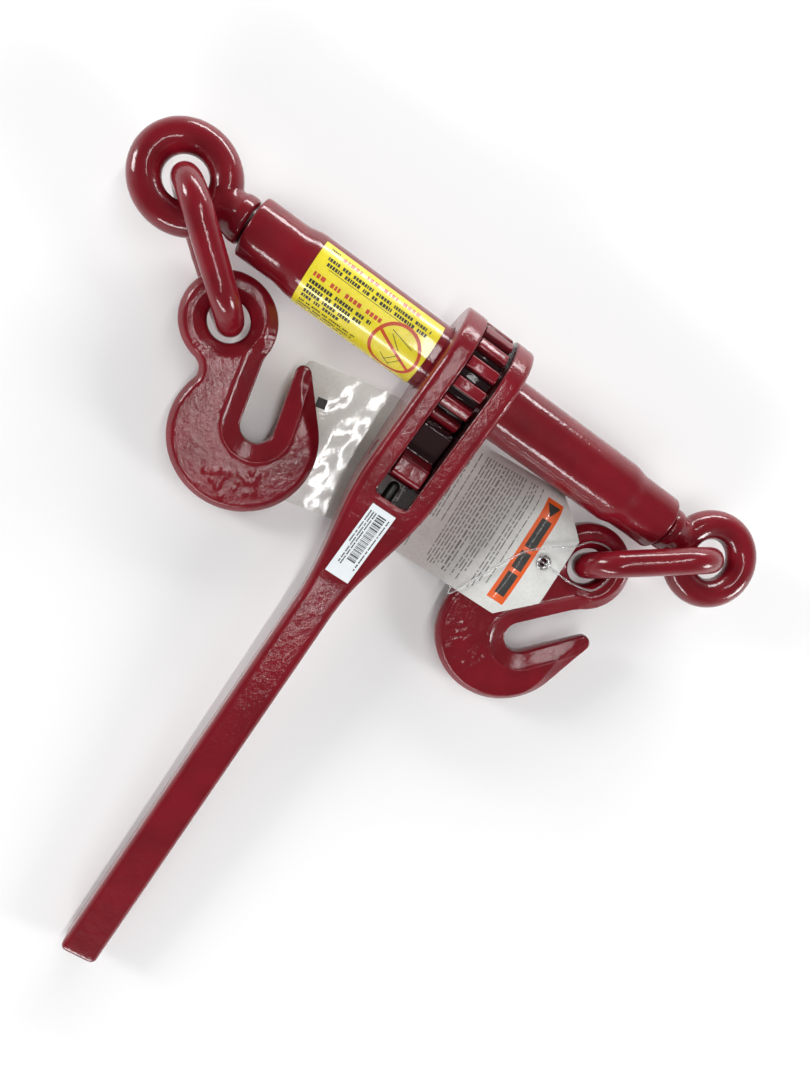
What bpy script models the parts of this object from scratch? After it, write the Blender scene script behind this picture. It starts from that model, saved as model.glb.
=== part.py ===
"""A ratchet load binder with a grab hook on each end, lying folded on the ground.

The barrel lies along X, the handle runs towards -Y and the ground is at Z = 0. Everything is
first placed about the centre of the barrel, in metres, and then moved as a whole.
"""

import math

import bmesh
import bpy
from mathutils import Matrix, Vector

MM = 0.001
GAP = 0.3 * MM

# Barrel: a tube, swaged down at each end, where it carries the thread.
BARREL_LENGTH = 260 * MM
BARREL_R = 17.5 * MM
SWAGE_R = 15.75 * MM
SWAGE_LENGTH = 23 * MM
SWAGE_TAPER = 8 * MM
THREAD_BORE_R = 11.2 * MM
THREAD_BORE_LENGTH = 20.7 * MM
MIDDLE_BORE_R = 13.1 * MM

# Ratchet gear, fixed on the barrel between the two cheeks of the handle.
GEAR_X = -2.6 * MM
GEAR_WIDTH = 16.4 * MM
GEAR_R = 30.2 * MM
GEAR_ROOT_R = 25.6 * MM
GEAR_TEETH = 16
GEAR_LAND = 0.5

# Handle: a forged fork with a round boss about the barrel, tapering into a bar.
HANDLE_X = -1.8 * MM
BOSS_R = 31 * MM
BOSS_HALF_WIDTH = 20.5 * MM
BAR_HALF_WIDTH = 10.4 * MM
BAR_HALF_HEIGHT = 8.5 * MM
HANDLE_LENGTH = 366 * MM
FORK_STRAIGHT = 60 * MM
FORK_END = 140 * MM
WEDGE_END = 122 * MM
WINDOW_HALF_WIDTH = 9.25 * MM
WINDOW_END = 72 * MM
EDGE_R = 3.6 * MM

# Pawl, its pin, and the plunger and spring behind it.
PAWL_Y = -54 * MM
PAWL_R = 7.6 * MM
PAWL_PIN_R = 4.0 * MM
PAWL_CLAW_ANGLE = math.radians(32)
PAWL_CLAW_REACH = (30.6 * MM, 29.5 * MM)
PAWL_CLAW_EDGES = (-0.2 * MM, 2.4 * MM)
PAWL_WIDTH = 16.6 * MM
PAWL_TAB_TOP = 18.5 * MM
PLUNGER_R = 3.2 * MM
PLUNGER_LENGTH = 14 * MM
PLUNGER_BORE_END = 101 * MM
SPRING_WIRE_R = 0.45 * MM
SPRING_TURNS = 6

# Eye screws: a ring on a threaded shank.
SCREW_R = 10.8 * MM
SCREW_INNER_X = 2.2 * MM
SPIGOT_R = 7.0 * MM
SPIGOT_LENGTH = 5.0 * MM
COLLAR_R = 12.3 * MM
COLLAR_GAP = 1.5 * MM
RING_X = 166.5 * MM
RING_R = 19.1 * MM
RING_WIRE_R = 8.2 * MM
STOP_WASHER_R = 12.7 * MM
STOP_WASHER_WIDTH = 3.0 * MM
STOP_CLIP_R = 9.4 * MM
STOP_CLIP_WIDTH = 1.0 * MM

# Connecting links: one welded link from each ring to each hook.
LINK_WIRE_R = 7.3 * MM
LINK_BOW_R = 17.8 * MM
LINK_STRAIGHT = 31.6 * MM

# Grab hooks. The outline is laid out about the eye, along the hook and across it.
HOOK_EYE_R = 24.3 * MM
HOOK_HOLE_R = 10.5 * MM
HOOK_HALF_THICKNESS = 7.5 * MM
HOOK_BELLY = Vector((58.0 * MM, 1.5 * MM))
HOOK_BELLY_R = 38.5 * MM
HOOK_SLOT = Vector((52.4 * MM, 9.0 * MM))
HOOK_SLOT_R = 8.8 * MM
HOOK_SLOT_ANGLE = math.radians(-26)
HOOK_TIP = Vector((27.5 * MM, 34.5 * MM))
HOOK_TIP_R = 4.2 * MM
HOOK_NOTCH_R = 7.0 * MM
HOOK_SHANK_BLEND_R = 22.0 * MM
HOOK_OUTER_EDGE = 3.0 * MM
HOOK_THROAT_EDGE = 7.5 * MM
HOOK_SLOPE = math.radians(9.1)

# Where each hook's eye lies about the centre of the barrel, and which way the hook points.
LEFT_HOOK_EYE = Vector((-115.6, -43.0, -8.5)) * MM
LEFT_HOOK_HEADING = math.radians(-51.5)
LEFT_LINK_ROLL = math.radians(-4)
RIGHT_HOOK_EYE = Vector((111.6, -41.4, -8.5)) * MM
RIGHT_HOOK_HEADING = math.radians(-106.5)
RIGHT_LINK_ROLL = math.radians(9)

# Labels.
LABEL_X = (-96 * MM, -27 * MM)
LABEL_ANGLES = (math.radians(45), math.radians(-118))
LABEL_THICKNESS = 0.25 * MM
STICKER_Y = (-77 * MM, -119 * MM)
STICKER_HALF_WIDTH = 6.9 * MM
STICKER_THICKNESS = 0.25 * MM

# Hang tag: a plastic card that lies over the right hook, under the handle and under the left hook.
TAG_EYELET = Vector((86.5, -53.6, 0)) * MM
TAG_HEADING = math.radians(181)
TAG_TURN = math.radians(12)
TAG_END_Z = 1.1 * MM
TAG_DROP = (18 * MM, 86 * MM)
TAG_CREST = -4.6 * MM
TAG_FLAT = 14 * MM
TAG_SAG = (17.0 * MM, 3.0 * MM)
TAG_LENGTH = 165 * MM
TAG_STEPS = 30
TAG_STRIPS = 8
TAG_HALF_WIDTH = 37.5 * MM
TAG_CORNER = 18 * MM
TAG_THICKNESS = 0.45 * MM
EYELET_INSET = 11 * MM
EYELET_R = 4.2 * MM
EYELET_HOLE_R = 2.0 * MM
LOOP_WIRE_R = 0.6 * MM

# Route of the tag's loop, in mm. First about the centre of the barrel: over the card past the eyelet,
# round the card's lower edge, back under it, up through the eyelet and over the card's end. Then about
# the right hook's eye, as radius, degrees and height: on top of the eye, round the foot of the link.
LOOP_ON_CARD = [
    (95.5, -37.5, 3.3),
    (84.3, -45.9, 3.0),
    (74.0, -55.0, 3.2),
    (64.0, -75.0, -0.5),
    (57.0, -93.0, -7.2),
    (55.5, -94.2, -11.9),
    (57.0, -82.0, -10.0),
    (70.0, -60.0, -2.6),
    (82.5, -54.4, -2.0),
    (86.4, -53.7, 1.2),
    (89.5, -54.0, 4.0),
    (96.5, -54.3, 3.2),
]
LOOP_ROUND_LINK = [(12.0, 0, 8.8), (11.8, 70, 8.9), (15.0, 146, 8.7), (15.4, 188, 8.7), (15.6, 230, 10.2)]
LOOP_STEPS = 4

# The handle is turned down about the barrel until the end of its bar meets the ground.
HANDLE_DROP = math.asin((BOSS_R - BAR_HALF_HEIGHT) / HANDLE_LENGTH)
GROUND_Z = -BOSS_R
FRONT_Y = -(HANDLE_LENGTH * math.cos(HANDLE_DROP) + BAR_HALF_HEIGHT * math.sin(HANDLE_DROP))
ORIGIN = Vector((0, -(FRONT_Y + BOSS_R) / 2, -GROUND_Z))

MATERIALS = {
    "red_paint": ((0.235, 0.012, 0.022), 0.28, 0.0),
    "bare_steel": ((0.42, 0.41, 0.39), 0.38, 1.0),
    "dark_steel": ((0.10, 0.095, 0.09), 0.45, 1.0),
    "yellow_label": ((0.80, 0.66, 0.03), 0.35, 0.0),
    "white_sticker": ((0.72, 0.78, 0.82), 0.40, 0.0),
    "tag_card": ((0.68, 0.69, 0.66), 0.25, 0.0),
    "clear_plastic": ((0.75, 0.76, 0.74), 0.15, 0.0),
}


def clear_scene():
    for obj in list(bpy.data.objects):
        bpy.data.objects.remove(obj, do_unlink=True)


def make_materials():
    for name, (colour, roughness, metallic) in MATERIALS.items():
        material = bpy.data.materials.new(name)
        material.use_nodes = True
        shader = material.node_tree.nodes["Principled BSDF"]
        shader.inputs["Base Color"].default_value = (*colour, 1.0)
        shader.inputs["Roughness"].default_value = roughness
        shader.inputs["Metallic"].default_value = metallic


def add_empty(name, location, parent=None):
    empty = bpy.data.objects.new(name, None)
    empty.location = location
    empty.parent = parent
    bpy.context.scene.collection.objects.link(empty)
    return empty


def add_object(name, bm, parent, material, smooth=True):
    """Closes a bmesh into a named object."""
    bmesh.ops.recalc_face_normals(bm, faces=bm.faces)
    mesh = bpy.data.meshes.new(name)
    bm.to_mesh(mesh)
    bm.free()
    for polygon in mesh.polygons:
        polygon.use_smooth = smooth
    mesh.materials.append(bpy.data.materials[material])
    obj = bpy.data.objects.new(name, mesh)
    obj.parent = parent
    bpy.context.scene.collection.objects.link(obj)
    return obj


def add_cutter(name, bm, parent):
    cutter = add_object(name, bm, parent, "dark_steel")
    cutter.hide_render = True
    cutter.display_type = "WIRE"
    return cutter


def boolean(obj, other, operation="DIFFERENCE", solver="EXACT"):
    modifier = obj.modifiers.new(other.name, "BOOLEAN")
    modifier.operation = operation
    modifier.solver = solver
    modifier.object = other


def arc(centre, radius, start, end, steps):
    """Points on an arc in the plane, both ends included."""
    points = []
    for i in range(steps + 1):
        angle = start + (end - start) * i / steps
        points.append(Vector((centre[0] + radius * math.cos(angle), centre[1] + radius * math.sin(angle))))
    return points


def heading(vector):
    return math.atan2(vector[1], vector[0])


def turned(profile, segments):
    """Spins a profile of (x, radius) points about X. It closes on itself unless it ends on the axis."""
    bm = bmesh.new()
    verts = [bm.verts.new((x, 0, radius)) for x, radius in profile]
    edges = [bm.edges.new((a, b)) for a, b in zip(verts, verts[1:])]
    if profile[0][1] > 0:
        edges.append(bm.edges.new((verts[-1], verts[0])))
    bmesh.ops.spin(
        bm, geom=verts + edges, cent=(0, 0, 0), axis=(1, 0, 0), angle=math.tau, steps=segments, use_merge=True
    )
    bmesh.ops.remove_doubles(bm, verts=bm.verts, dist=0.001 * MM)
    return bm


def prism(points, low, high, axis="X"):
    """Extrudes a closed outline along X, Y or Z, from low to high."""
    bm = bmesh.new()
    place = {
        "X": lambda p, t: (t, p[0], p[1]),
        "Y": lambda p, t: (p[0], t, p[1]),
        "Z": lambda p, t: (p[0], p[1], t),
    }[axis]
    face = bm.faces.new([bm.verts.new(place(p, low)) for p in points])
    extruded = bmesh.ops.extrude_face_region(bm, geom=[face])["geom"]
    moved = [item for item in extruded if isinstance(item, bmesh.types.BMVert)]
    shift = Vector(place((0, 0), high)) - Vector(place((0, 0), low))
    bmesh.ops.translate(bm, verts=moved, vec=shift)
    return bm


def ring_points(radius, count):
    return arc((0, 0), radius, 0, math.tau, count)[:-1]


def loft(loops, closed=False):
    """Joins equal loops of points, one after another, and caps both ends unless it closes on itself."""
    bm = bmesh.new()
    rings = [[bm.verts.new(point) for point in loop] for loop in loops]
    pairs = list(zip(rings, rings[1:]))
    if closed:
        pairs.append((rings[-1], rings[0]))
    for near, far in pairs:
        for i in range(len(near)):
            j = (i + 1) % len(near)
            bm.faces.new((near[i], near[j], far[j], far[i]))
    if not closed:
        bm.faces.new(rings[0])
        bm.faces.new(rings[-1])
    return bm


def build_barrel(root):
    half = BARREL_LENGTH / 2
    chamfer = 1.2 * MM
    outer = [
        (half, SWAGE_R - chamfer),
        (half - chamfer, SWAGE_R),
        (half - SWAGE_LENGTH, SWAGE_R),
        (half - SWAGE_LENGTH - SWAGE_TAPER * 0.4, SWAGE_R + (BARREL_R - SWAGE_R) * 0.5),
        (half - SWAGE_LENGTH - SWAGE_TAPER, BARREL_R),
    ]
    inner = [
        (half - THREAD_BORE_LENGTH - 1.0 * MM, MIDDLE_BORE_R),
        (half - THREAD_BORE_LENGTH, THREAD_BORE_R),
        (half - chamfer, THREAD_BORE_R),
        (half, THREAD_BORE_R + chamfer),
    ]
    mirrored = [(-x, r) for x, r in reversed(outer)]
    mirrored_inner = [(-x, r) for x, r in reversed(inner)]
    profile = outer + mirrored + mirrored_inner + inner
    return add_object("barrel_tube", turned(profile, 40), root, "red_paint")


def build_gear(root):
    """A ring with broad flat teeth and square gaps, one of them facing along the handle."""
    bore_r = BARREL_R + GAP
    pitch = math.tau / GEAR_TEETH
    half_land = pitch * GEAR_LAND / 2
    flank = pitch * 0.05
    outer = []
    inner = []
    for tooth in range(GEAR_TEETH):
        middle = math.pi + HANDLE_DROP + (tooth + 0.5) * pitch
        corners = [
            (-half_land - flank, GEAR_ROOT_R),
            (-half_land, GEAR_R),
            (0, GEAR_R),
            (half_land, GEAR_R),
            (half_land + flank, GEAR_ROOT_R),
        ]
        for offset, radius in corners:
            direction = Vector((math.cos(middle + offset), math.sin(middle + offset)))
            outer.append(direction * radius)
            inner.append(direction * bore_r)
    low = GEAR_X - GEAR_WIDTH / 2
    high = GEAR_X + GEAR_WIDTH / 2
    loops = [
        [(low, p.x, p.y) for p in outer],
        [(high, p.x, p.y) for p in outer],
        [(high, p.x, p.y) for p in inner],
        [(low, p.x, p.y) for p in inner],
    ]
    return add_object("ratchet_gear", loft(loops, closed=True), root, "red_paint", smooth=False)


def eased(t):
    t = min(max(t, 0), 1)
    return t * t * (3 - 2 * t)


def fork_half_width(y):
    """Half width of the handle at a distance y down from the barrel: straight, a smooth taper, then the bar."""
    share = eased((y - FORK_STRAIGHT) / (FORK_END - FORK_STRAIGHT))
    return BOSS_HALF_WIDTH + (BAR_HALF_WIDTH - BOSS_HALF_WIDTH) * share


def wedge_tangent():
    """Where the straight flank of the fork leaves the round boss, as an angle about the barrel."""
    end = Vector((WEDGE_END, BAR_HALF_HEIGHT))
    return heading(end) + math.acos(BOSS_R / end.length)


def handle_half_height(y):
    """Half height of the handle at a distance y down from the barrel; negative y is behind the barrel."""
    angle = wedge_tangent()
    touch = Vector((math.cos(angle), math.sin(angle))) * BOSS_R
    if y <= touch.x:
        return math.sqrt(max(BOSS_R**2 - y**2, 0))
    if y < WEDGE_END:
        return touch.y + (BAR_HALF_HEIGHT - touch.y) * (y - touch.x) / (WEDGE_END - touch.x)
    return BAR_HALF_HEIGHT


def handle_section(y, half_width, half_height, edge):
    """A rounded rectangle across the handle. y is the distance down from the barrel."""
    edge = min(edge, half_height * 0.8, half_width * 0.8)
    corners = [(1, 1, 0), (-1, 1, 90), (-1, -1, 180), (1, -1, 270)]
    points = []
    for side, up, start in corners:
        centre = (side * (half_width - edge), up * (half_height - edge))
        points += arc(centre, edge, math.radians(start), math.radians(start + 90), 4)
    return [(HANDLE_X + p.x, -y, p.y) for p in points]


def build_handle(pivot):
    boss_steps = 12
    stations = [-BOSS_R * math.cos(math.radians(6 + 84 * i / boss_steps)) for i in range(boss_steps + 1)]
    stations += [y * MM for y in (12, 24, 36, 48, 60, 70, 80, 90, 100, 110, 116, 122, 128, 134, 140)]
    stations += [170 * MM, 260 * MM, HANDLE_LENGTH - 2 * MM]
    loops = [handle_section(y, fork_half_width(y), handle_half_height(y), EDGE_R) for y in stations]
    nose = handle_section(HANDLE_LENGTH, BAR_HALF_WIDTH - 1.6 * MM, BAR_HALF_HEIGHT - 1.6 * MM, 2.4 * MM)
    loops.append(nose)
    handle = add_object("handle", loft(loops), pivot, "red_paint")

    corner = 3.5 * MM
    low, high = HANDLE_X - WINDOW_HALF_WIDTH, HANDLE_X + WINDOW_HALF_WIDTH
    window = [(low, 40 * MM)]
    window += arc((low + corner, -WINDOW_END + corner), corner, math.pi, 1.5 * math.pi, 4)
    window += arc((high - corner, -WINDOW_END + corner), corner, 1.5 * math.pi, math.tau, 4)
    window.append((high, 40 * MM))
    cutters = [add_cutter("cut_window", prism(window, -40 * MM, 40 * MM, "Z"), pivot)]
    boss_bore = prism(ring_points(BARREL_R + GAP, 40), -40 * MM, 40 * MM)
    cutters.append(add_cutter("cut_boss_bore", boss_bore, pivot))
    pin_hole = prism([p + Vector((PAWL_Y, 0)) for p in ring_points(PAWL_PIN_R + GAP, 20)], -40 * MM, 40 * MM)
    cutters.append(add_cutter("cut_pin_hole", pin_hole, pivot))
    bore = [p + Vector((HANDLE_X, 0)) for p in ring_points(PLUNGER_R + GAP, 16)]
    plunger_bore = prism(bore, -PLUNGER_BORE_END, -WINDOW_END + 4 * MM, "Y")
    cutters.append(add_cutter("cut_plunger_bore", plunger_bore, pivot))
    for cutter in cutters:
        boolean(handle, cutter, solver="MANIFOLD")
    return handle


def pawl_outline():
    """The pawl seen along its pin: a round back, a claw above and below, and a thumb tab beside each claw."""
    along = Vector((math.cos(PAWL_CLAW_ANGLE), math.sin(PAWL_CLAW_ANGLE)))
    across = Vector((-along.y, along.x))
    upper = [along * 12.5 * MM - across * 2.2 * MM]
    for reach, edge in zip(PAWL_CLAW_REACH, PAWL_CLAW_EDGES):
        upper.append(along * reach + across * edge)
    upper.append(along * 14 * MM + across * 5.5 * MM)
    upper.append(Vector((6.0 * MM, PAWL_TAB_TOP - 2.5 * MM)))
    upper.append(Vector((3.6 * MM, PAWL_TAB_TOP)))
    upper.append(Vector((-3.6 * MM, PAWL_TAB_TOP)))
    upper.append(Vector((-6.0 * MM, PAWL_TAB_TOP - 2.5 * MM)))
    back = arc((0, 0), PAWL_R, math.radians(142), math.radians(218), 8)
    lower = [Vector((p.x, -p.y)) for p in reversed(upper)]
    return upper + back + lower


def build_pawl(pivot, seat):
    outline = pawl_outline()
    low, high = HANDLE_X - PAWL_WIDTH / 2, HANDLE_X + PAWL_WIDTH / 2
    pawl = add_object("pawl", prism(outline, low, high), seat, "red_paint", smooth=False)
    hole = prism(ring_points(PAWL_PIN_R + GAP, 20), low - MM, high + MM)
    boolean(pawl, add_cutter("cut_pawl_hole", hole, seat))

    half_pin = BOSS_HALF_WIDTH - 0.2 * MM
    chamfer = 0.6 * MM
    profile = [
        (-half_pin, 0),
        (-half_pin, PAWL_PIN_R - chamfer),
        (-half_pin + chamfer, PAWL_PIN_R),
        (half_pin - chamfer, PAWL_PIN_R),
        (half_pin, PAWL_PIN_R - chamfer),
        (half_pin, 0),
    ]
    pin = add_object("pawl_pin", turned([(HANDLE_X + x, r) for x, r in profile], 20), seat, "dark_steel")

    nose_y = PAWL_R + GAP
    ball = arc((nose_y + PLUNGER_R, 0), PLUNGER_R, math.pi, math.pi / 2, 4)
    profile = [(p.x, max(p.y, 0)) for p in ball] + [(nose_y + PLUNGER_LENGTH, PLUNGER_R), (nose_y + PLUNGER_LENGTH, 0)]
    plunger = add_object("pawl_plunger", turned(profile, 16), seat, "bare_steel")
    plunger.rotation_euler.z = -math.pi / 2
    plunger.location.x = HANDLE_X

    start = nose_y + PLUNGER_LENGTH + GAP - PAWL_Y
    spring_length = PLUNGER_BORE_END - start - 2 * GAP
    coil_r = PLUNGER_R - SPRING_WIRE_R - 0.2 * MM
    steps = SPRING_TURNS * 10
    curve = bpy.data.curves.new("pawl_spring", "CURVE")
    curve.dimensions = "3D"
    curve.bevel_depth = SPRING_WIRE_R
    curve.bevel_resolution = 1
    curve.use_fill_caps = True
    spline = curve.splines.new("POLY")
    spline.points.add(steps)
    run = spring_length - 2 * SPRING_WIRE_R
    for i, point in enumerate(spline.points):
        angle = math.tau * SPRING_TURNS * i / steps
        y = -(start + SPRING_WIRE_R + run * i / steps)
        point.co = (HANDLE_X + coil_r * math.cos(angle), y, coil_r * math.sin(angle), 1)
    curve.materials.append(bpy.data.materials["bare_steel"])
    spring = bpy.data.objects.new("pawl_spring", curve)
    spring.parent = pivot
    bpy.context.scene.collection.objects.link(spring)
    return pawl, pin, plunger, spring


def build_eye_screw(side, root):
    """A ring forged onto a threaded shank, with the stop washer and its clip on the inner end."""
    name = "right" if side > 0 else "left"
    shoulder = BARREL_LENGTH / 2 + COLLAR_GAP
    spigot_end = SCREW_INNER_X + SPIGOT_LENGTH
    profile = [
        (SCREW_INNER_X, 0),
        (SCREW_INNER_X, SPIGOT_R - 0.5 * MM),
        (SCREW_INNER_X + 0.5 * MM, SPIGOT_R),
        (spigot_end, SPIGOT_R),
        (spigot_end, SCREW_R - 1 * MM),
        (spigot_end + 1 * MM, SCREW_R),
        (shoulder, SCREW_R),
        (shoulder, COLLAR_R - 1.2 * MM),
        (shoulder + 1.2 * MM, COLLAR_R),
        (shoulder + 6 * MM, COLLAR_R - 0.3 * MM),
        (shoulder + 12 * MM, COLLAR_R - 2.4 * MM),
        (RING_X - RING_R + 1 * MM, RING_WIRE_R - 1.6 * MM),
        (RING_X - RING_R + 1 * MM, 0),
    ]
    if side < 0:
        profile = [(-x, r) for x, r in reversed(profile)]
    screw = add_object(name + "_eye_screw", turned(profile, 28), root, "red_paint")
    loops = []
    around = 36
    for i in range(around):
        turn = Matrix.Rotation(math.tau * i / around, 3, "Z")
        section = [turn @ Vector((RING_R + p.x, 0, p.y)) for p in ring_points(RING_WIRE_R, 16)]
        loops.append([p + Vector((side * RING_X, 0, 0)) for p in section])
    boolean(screw, add_cutter("add_ring_" + name, loft(loops, closed=True), root), "UNION")

    clip_x = SCREW_INNER_X + 0.4 * MM
    washer_x = clip_x + STOP_CLIP_WIDTH + GAP / 2
    rings = [
        ("_stop_clip", clip_x, STOP_CLIP_WIDTH, STOP_CLIP_R, "dark_steel"),
        ("_stop_washer", washer_x, STOP_WASHER_WIDTH, STOP_WASHER_R, "bare_steel"),
    ]
    for ending, x, width, radius, material in rings:
        low = (x, SPIGOT_R + GAP)
        profile = [low, (x, radius), (x + width, radius), (x + width, SPIGOT_R + GAP)]
        if side < 0:
            profile = [(-px, r) for px, r in reversed(profile)]
        add_object(name + ending, turned(profile, 28), root, material)
    return screw


def hook_turn(way):
    """A hook points one way along the ground and slopes down to it."""
    return Matrix.Rotation(way, 3, "Z") @ Matrix.Rotation(HOOK_SLOPE, 3, "Y")


def link_frame(ring, eye, way, roll):
    """The middle of a link and its axes: along it, across it in its own plane, and out of that plane."""
    between = (eye - ring).normalized()
    level = Vector((between.x, between.y, 0)).normalized()
    hook_up = hook_turn(way) @ Vector((0, 0, 1))
    in_hook = (between - hook_up * between.dot(hook_up)).normalized()
    ring_bow = ring + level * RING_R
    eye_bow = eye - in_hook * (HOOK_EYE_R + HOOK_HOLE_R) / 2
    along = (eye_bow - ring_bow).normalized()
    flat = along.cross(Vector((0, 0, 1))).normalized()
    across = Matrix.Rotation(roll, 3, along) @ flat.cross(along).normalized()
    return (ring_bow + eye_bow) / 2, along, across, along.cross(across)


def build_link(name, ring, eye, way, roll, seat):
    middle, along, across, out = link_frame(ring, eye, way, roll)
    middle = middle - ring
    half = LINK_STRAIGHT / 2
    bow = arc((half, 0), LINK_BOW_R, -math.pi / 2, math.pi / 2, 10)
    route = bow + [Vector((-p.x, -p.y)) for p in bow]
    loops = []
    for i, point in enumerate(route):
        before = route[i - 1]
        after = route[(i + 1) % len(route)]
        tangent = ((point - before).normalized() + (after - point).normalized()).normalized()
        normal = Vector((tangent.y, -tangent.x))
        loop = []
        for p in ring_points(LINK_WIRE_R, 14):
            q = point + normal * p.x
            loop.append(middle + along * q.x + across * q.y + out * p.y)
        loops.append(loop)
    return add_object(name, loft(loops, closed=True), seat, "red_paint")


def tangent_line(centre_a, radius_a, centre_b, radius_b, side):
    """Angle of the outward normal of the line that touches two circles on one side."""
    between = centre_b - centre_a
    swing = math.acos((radius_a - radius_b) / between.length)
    return heading(between) + side * swing


def fillet(centre_a, radius_a, centre_b, radius_b, side):
    """Centre of a circle's place outside a, at radius_a, and outside b, at radius_b, on one side of a to b."""
    between = centre_b - centre_a
    d = between.length
    along = (d * d + radius_a**2 - radius_b**2) / (2 * d)
    off = math.sqrt(radius_a**2 - along**2)
    unit = between / d
    return centre_a + unit * along + Vector((-unit.y, unit.x)) * side * off


def hook_outline():
    """Closed outline of the hook, counter-clockwise, as (point, True where it is in the throat)."""
    eye = Vector((0, 0))
    slot_way = Vector((math.cos(HOOK_SLOT_ANGLE), math.sin(HOOK_SLOT_ANGLE)))
    slot_left = Vector((-slot_way.y, slot_way.x))
    # The shank edge is the slot's left side. A blend circle outside it joins it to the eye.
    shank_level = HOOK_SLOT.dot(slot_left) - HOOK_SLOT_R
    blend_level = shank_level + HOOK_SHANK_BLEND_R
    blend_reach = HOOK_EYE_R + HOOK_SHANK_BLEND_R
    blend = slot_left * blend_level + slot_way * math.sqrt(blend_reach**2 - blend_level**2)
    notch = fillet(eye, HOOK_EYE_R + HOOK_NOTCH_R, HOOK_BELLY, HOOK_BELLY_R + HOOK_NOTCH_R, -1)
    tip_turn = tangent_line(HOOK_TIP, HOOK_TIP_R, HOOK_BELLY, HOOK_BELLY_R, 1)
    inner_turn = heading(-slot_left)

    points = []

    def add(new_points, throat):
        for p in new_points:
            points.append((p, throat))

    eye_start = heading(blend - eye)
    eye_end = heading(notch - eye)
    add(arc(eye, HOOK_EYE_R, eye_start, eye_end + math.tau, 22), False)
    add(arc(notch, HOOK_NOTCH_R, heading(eye - notch), heading(HOOK_BELLY - notch), 5)[1:-1], False)
    add(arc(HOOK_BELLY, HOOK_BELLY_R, heading(notch - HOOK_BELLY), tip_turn, 26), False)
    add(arc(HOOK_TIP, HOOK_TIP_R, tip_turn, inner_turn + math.tau, 6), False)
    add(arc(HOOK_SLOT, HOOK_SLOT_R, heading(slot_left), heading(-slot_left), 12), True)
    foot = slot_left * shank_level + slot_way * blend.dot(slot_way)
    add(arc(blend, HOOK_SHANK_BLEND_R, heading(foot - blend), heading(eye - blend), 5)[:-1], True)
    return points


def offset_outline(points, widths):
    """Moves each point of a counter-clockwise outline inwards by its own width."""
    moved = []
    for i, point in enumerate(points):
        before = (point - points[i - 1]).normalized()
        after = (points[(i + 1) % len(points)] - point).normalized()
        way = (before + after).normalized()
        inward = Vector((-way.y, way.x))
        moved.append(point + inward * widths[i])
    return moved


def build_hook(name, eye, way, root):
    """Both faces are set in from the outline: a little at the outer edge and more along the throat."""
    outline = hook_outline()
    points = [p for p, _ in outline]
    count = len(points)
    widths = [HOOK_THROAT_EDGE if throat else HOOK_OUTER_EDGE for _, throat in outline]
    for _ in range(3):
        widths = [(widths[i - 1] + 2 * widths[i] + widths[(i + 1) % count]) / 4 for i in range(count)]
    for i, point in enumerate(points):
        near_tip = (point - HOOK_TIP).length / (22 * MM)
        widths[i] = min(widths[i], (1.9 + 4.5 * near_tip) * MM)
    half = HOOK_HALF_THICKNESS
    levels = [(0.0, 0.0), (0.12, 0.55), (0.4, 0.85), (1.0, 1.0)]
    heights = [(share, level) for share, level in levels]
    steps = [(s, -z) for s, z in reversed(heights[1:])] + [(s, z) for s, z in heights]

    bm = bmesh.new()

    def ring_of(loop, z):
        return [bm.verts.new((p[0], p[1], z * half)) for p in loop]

    def join(rings, flip):
        for near, far in zip(rings, rings[1:]):
            for i in range(len(near)):
                j = (i + 1) % len(near)
                quad = (near[i], near[j], far[j], far[i])
                bm.faces.new(quad[::-1] if flip else quad)

    outer = [ring_of(offset_outline(points, [w * share for w in widths]), z) for share, z in steps]
    join(outer, False)
    hole = []
    for share, z in steps:
        hole.append(ring_of(ring_points(HOOK_HOLE_R + 3.4 * MM * share, 24), z))
    join(hole, True)
    for outer_ring, hole_ring in ((outer[0], hole[0]), (outer[-1], hole[-1])):
        edges = []
        for ring in (outer_ring, hole_ring):
            for i in range(len(ring)):
                edges.append(bm.edges.get((ring[i], ring[(i + 1) % len(ring)])))
        bmesh.ops.triangle_fill(bm, use_beauty=True, use_dissolve=False, edges=edges)
    hook = add_object(name, bm, root, "red_paint")
    hook.rotation_euler = hook_turn(way).to_euler()
    hook.location = eye
    return hook


def build_label(root):
    """A label wrapped part of the way round the barrel, left of the handle."""
    inner_r = BARREL_R + GAP
    outer_r = inner_r + LABEL_THICKNESS
    steps = 18
    loops = []
    for i in range(steps + 1):
        angle = LABEL_ANGLES[0] + (LABEL_ANGLES[1] - LABEL_ANGLES[0]) * i / steps
        across = Vector((0, math.sin(angle), math.cos(angle)))
        loop = []
        for x, radius in ((0, inner_r), (0, outer_r), (1, outer_r), (1, inner_r)):
            loop.append(Vector((LABEL_X[x], 0, 0)) + across * radius)
        loops.append(loop)
    return add_object("warning_label", loft(loops), root, "yellow_label", smooth=False)


def build_sticker(pivot):
    """A sticker on the upper flank of the fork, just below the window."""
    loops = []
    for y in STICKER_Y:
        z = handle_half_height(-y) + GAP
        top = z + STICKER_THICKNESS
        low, high = HANDLE_X - STICKER_HALF_WIDTH, HANDLE_X + STICKER_HALF_WIDTH
        loops.append([(low, y, z), (high, y, z), (high, y, top), (low, y, top)])
    return add_object("barcode_sticker", loft(loops), pivot, "white_sticker", smooth=False)


def tag_height(u, v):
    """Height of the card: it sinks from the hook to the ground, and its end hangs down on both sides."""
    ground = GROUND_Z + 0.1 * MM
    sink = eased((u - TAG_DROP[0]) / (TAG_DROP[1] - TAG_DROP[0]))
    offset = v - TAG_CREST
    past_flat = max(abs(offset) - TAG_FLAT, 0) / (TAG_HALF_WIDTH - TAG_FLAT)
    sag = TAG_SAG[0 if offset < 0 else 1] * past_flat**2
    return TAG_END_Z + (ground - TAG_END_Z) * sink - sag * (1 - eased(u / TAG_DROP[1]))


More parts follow.
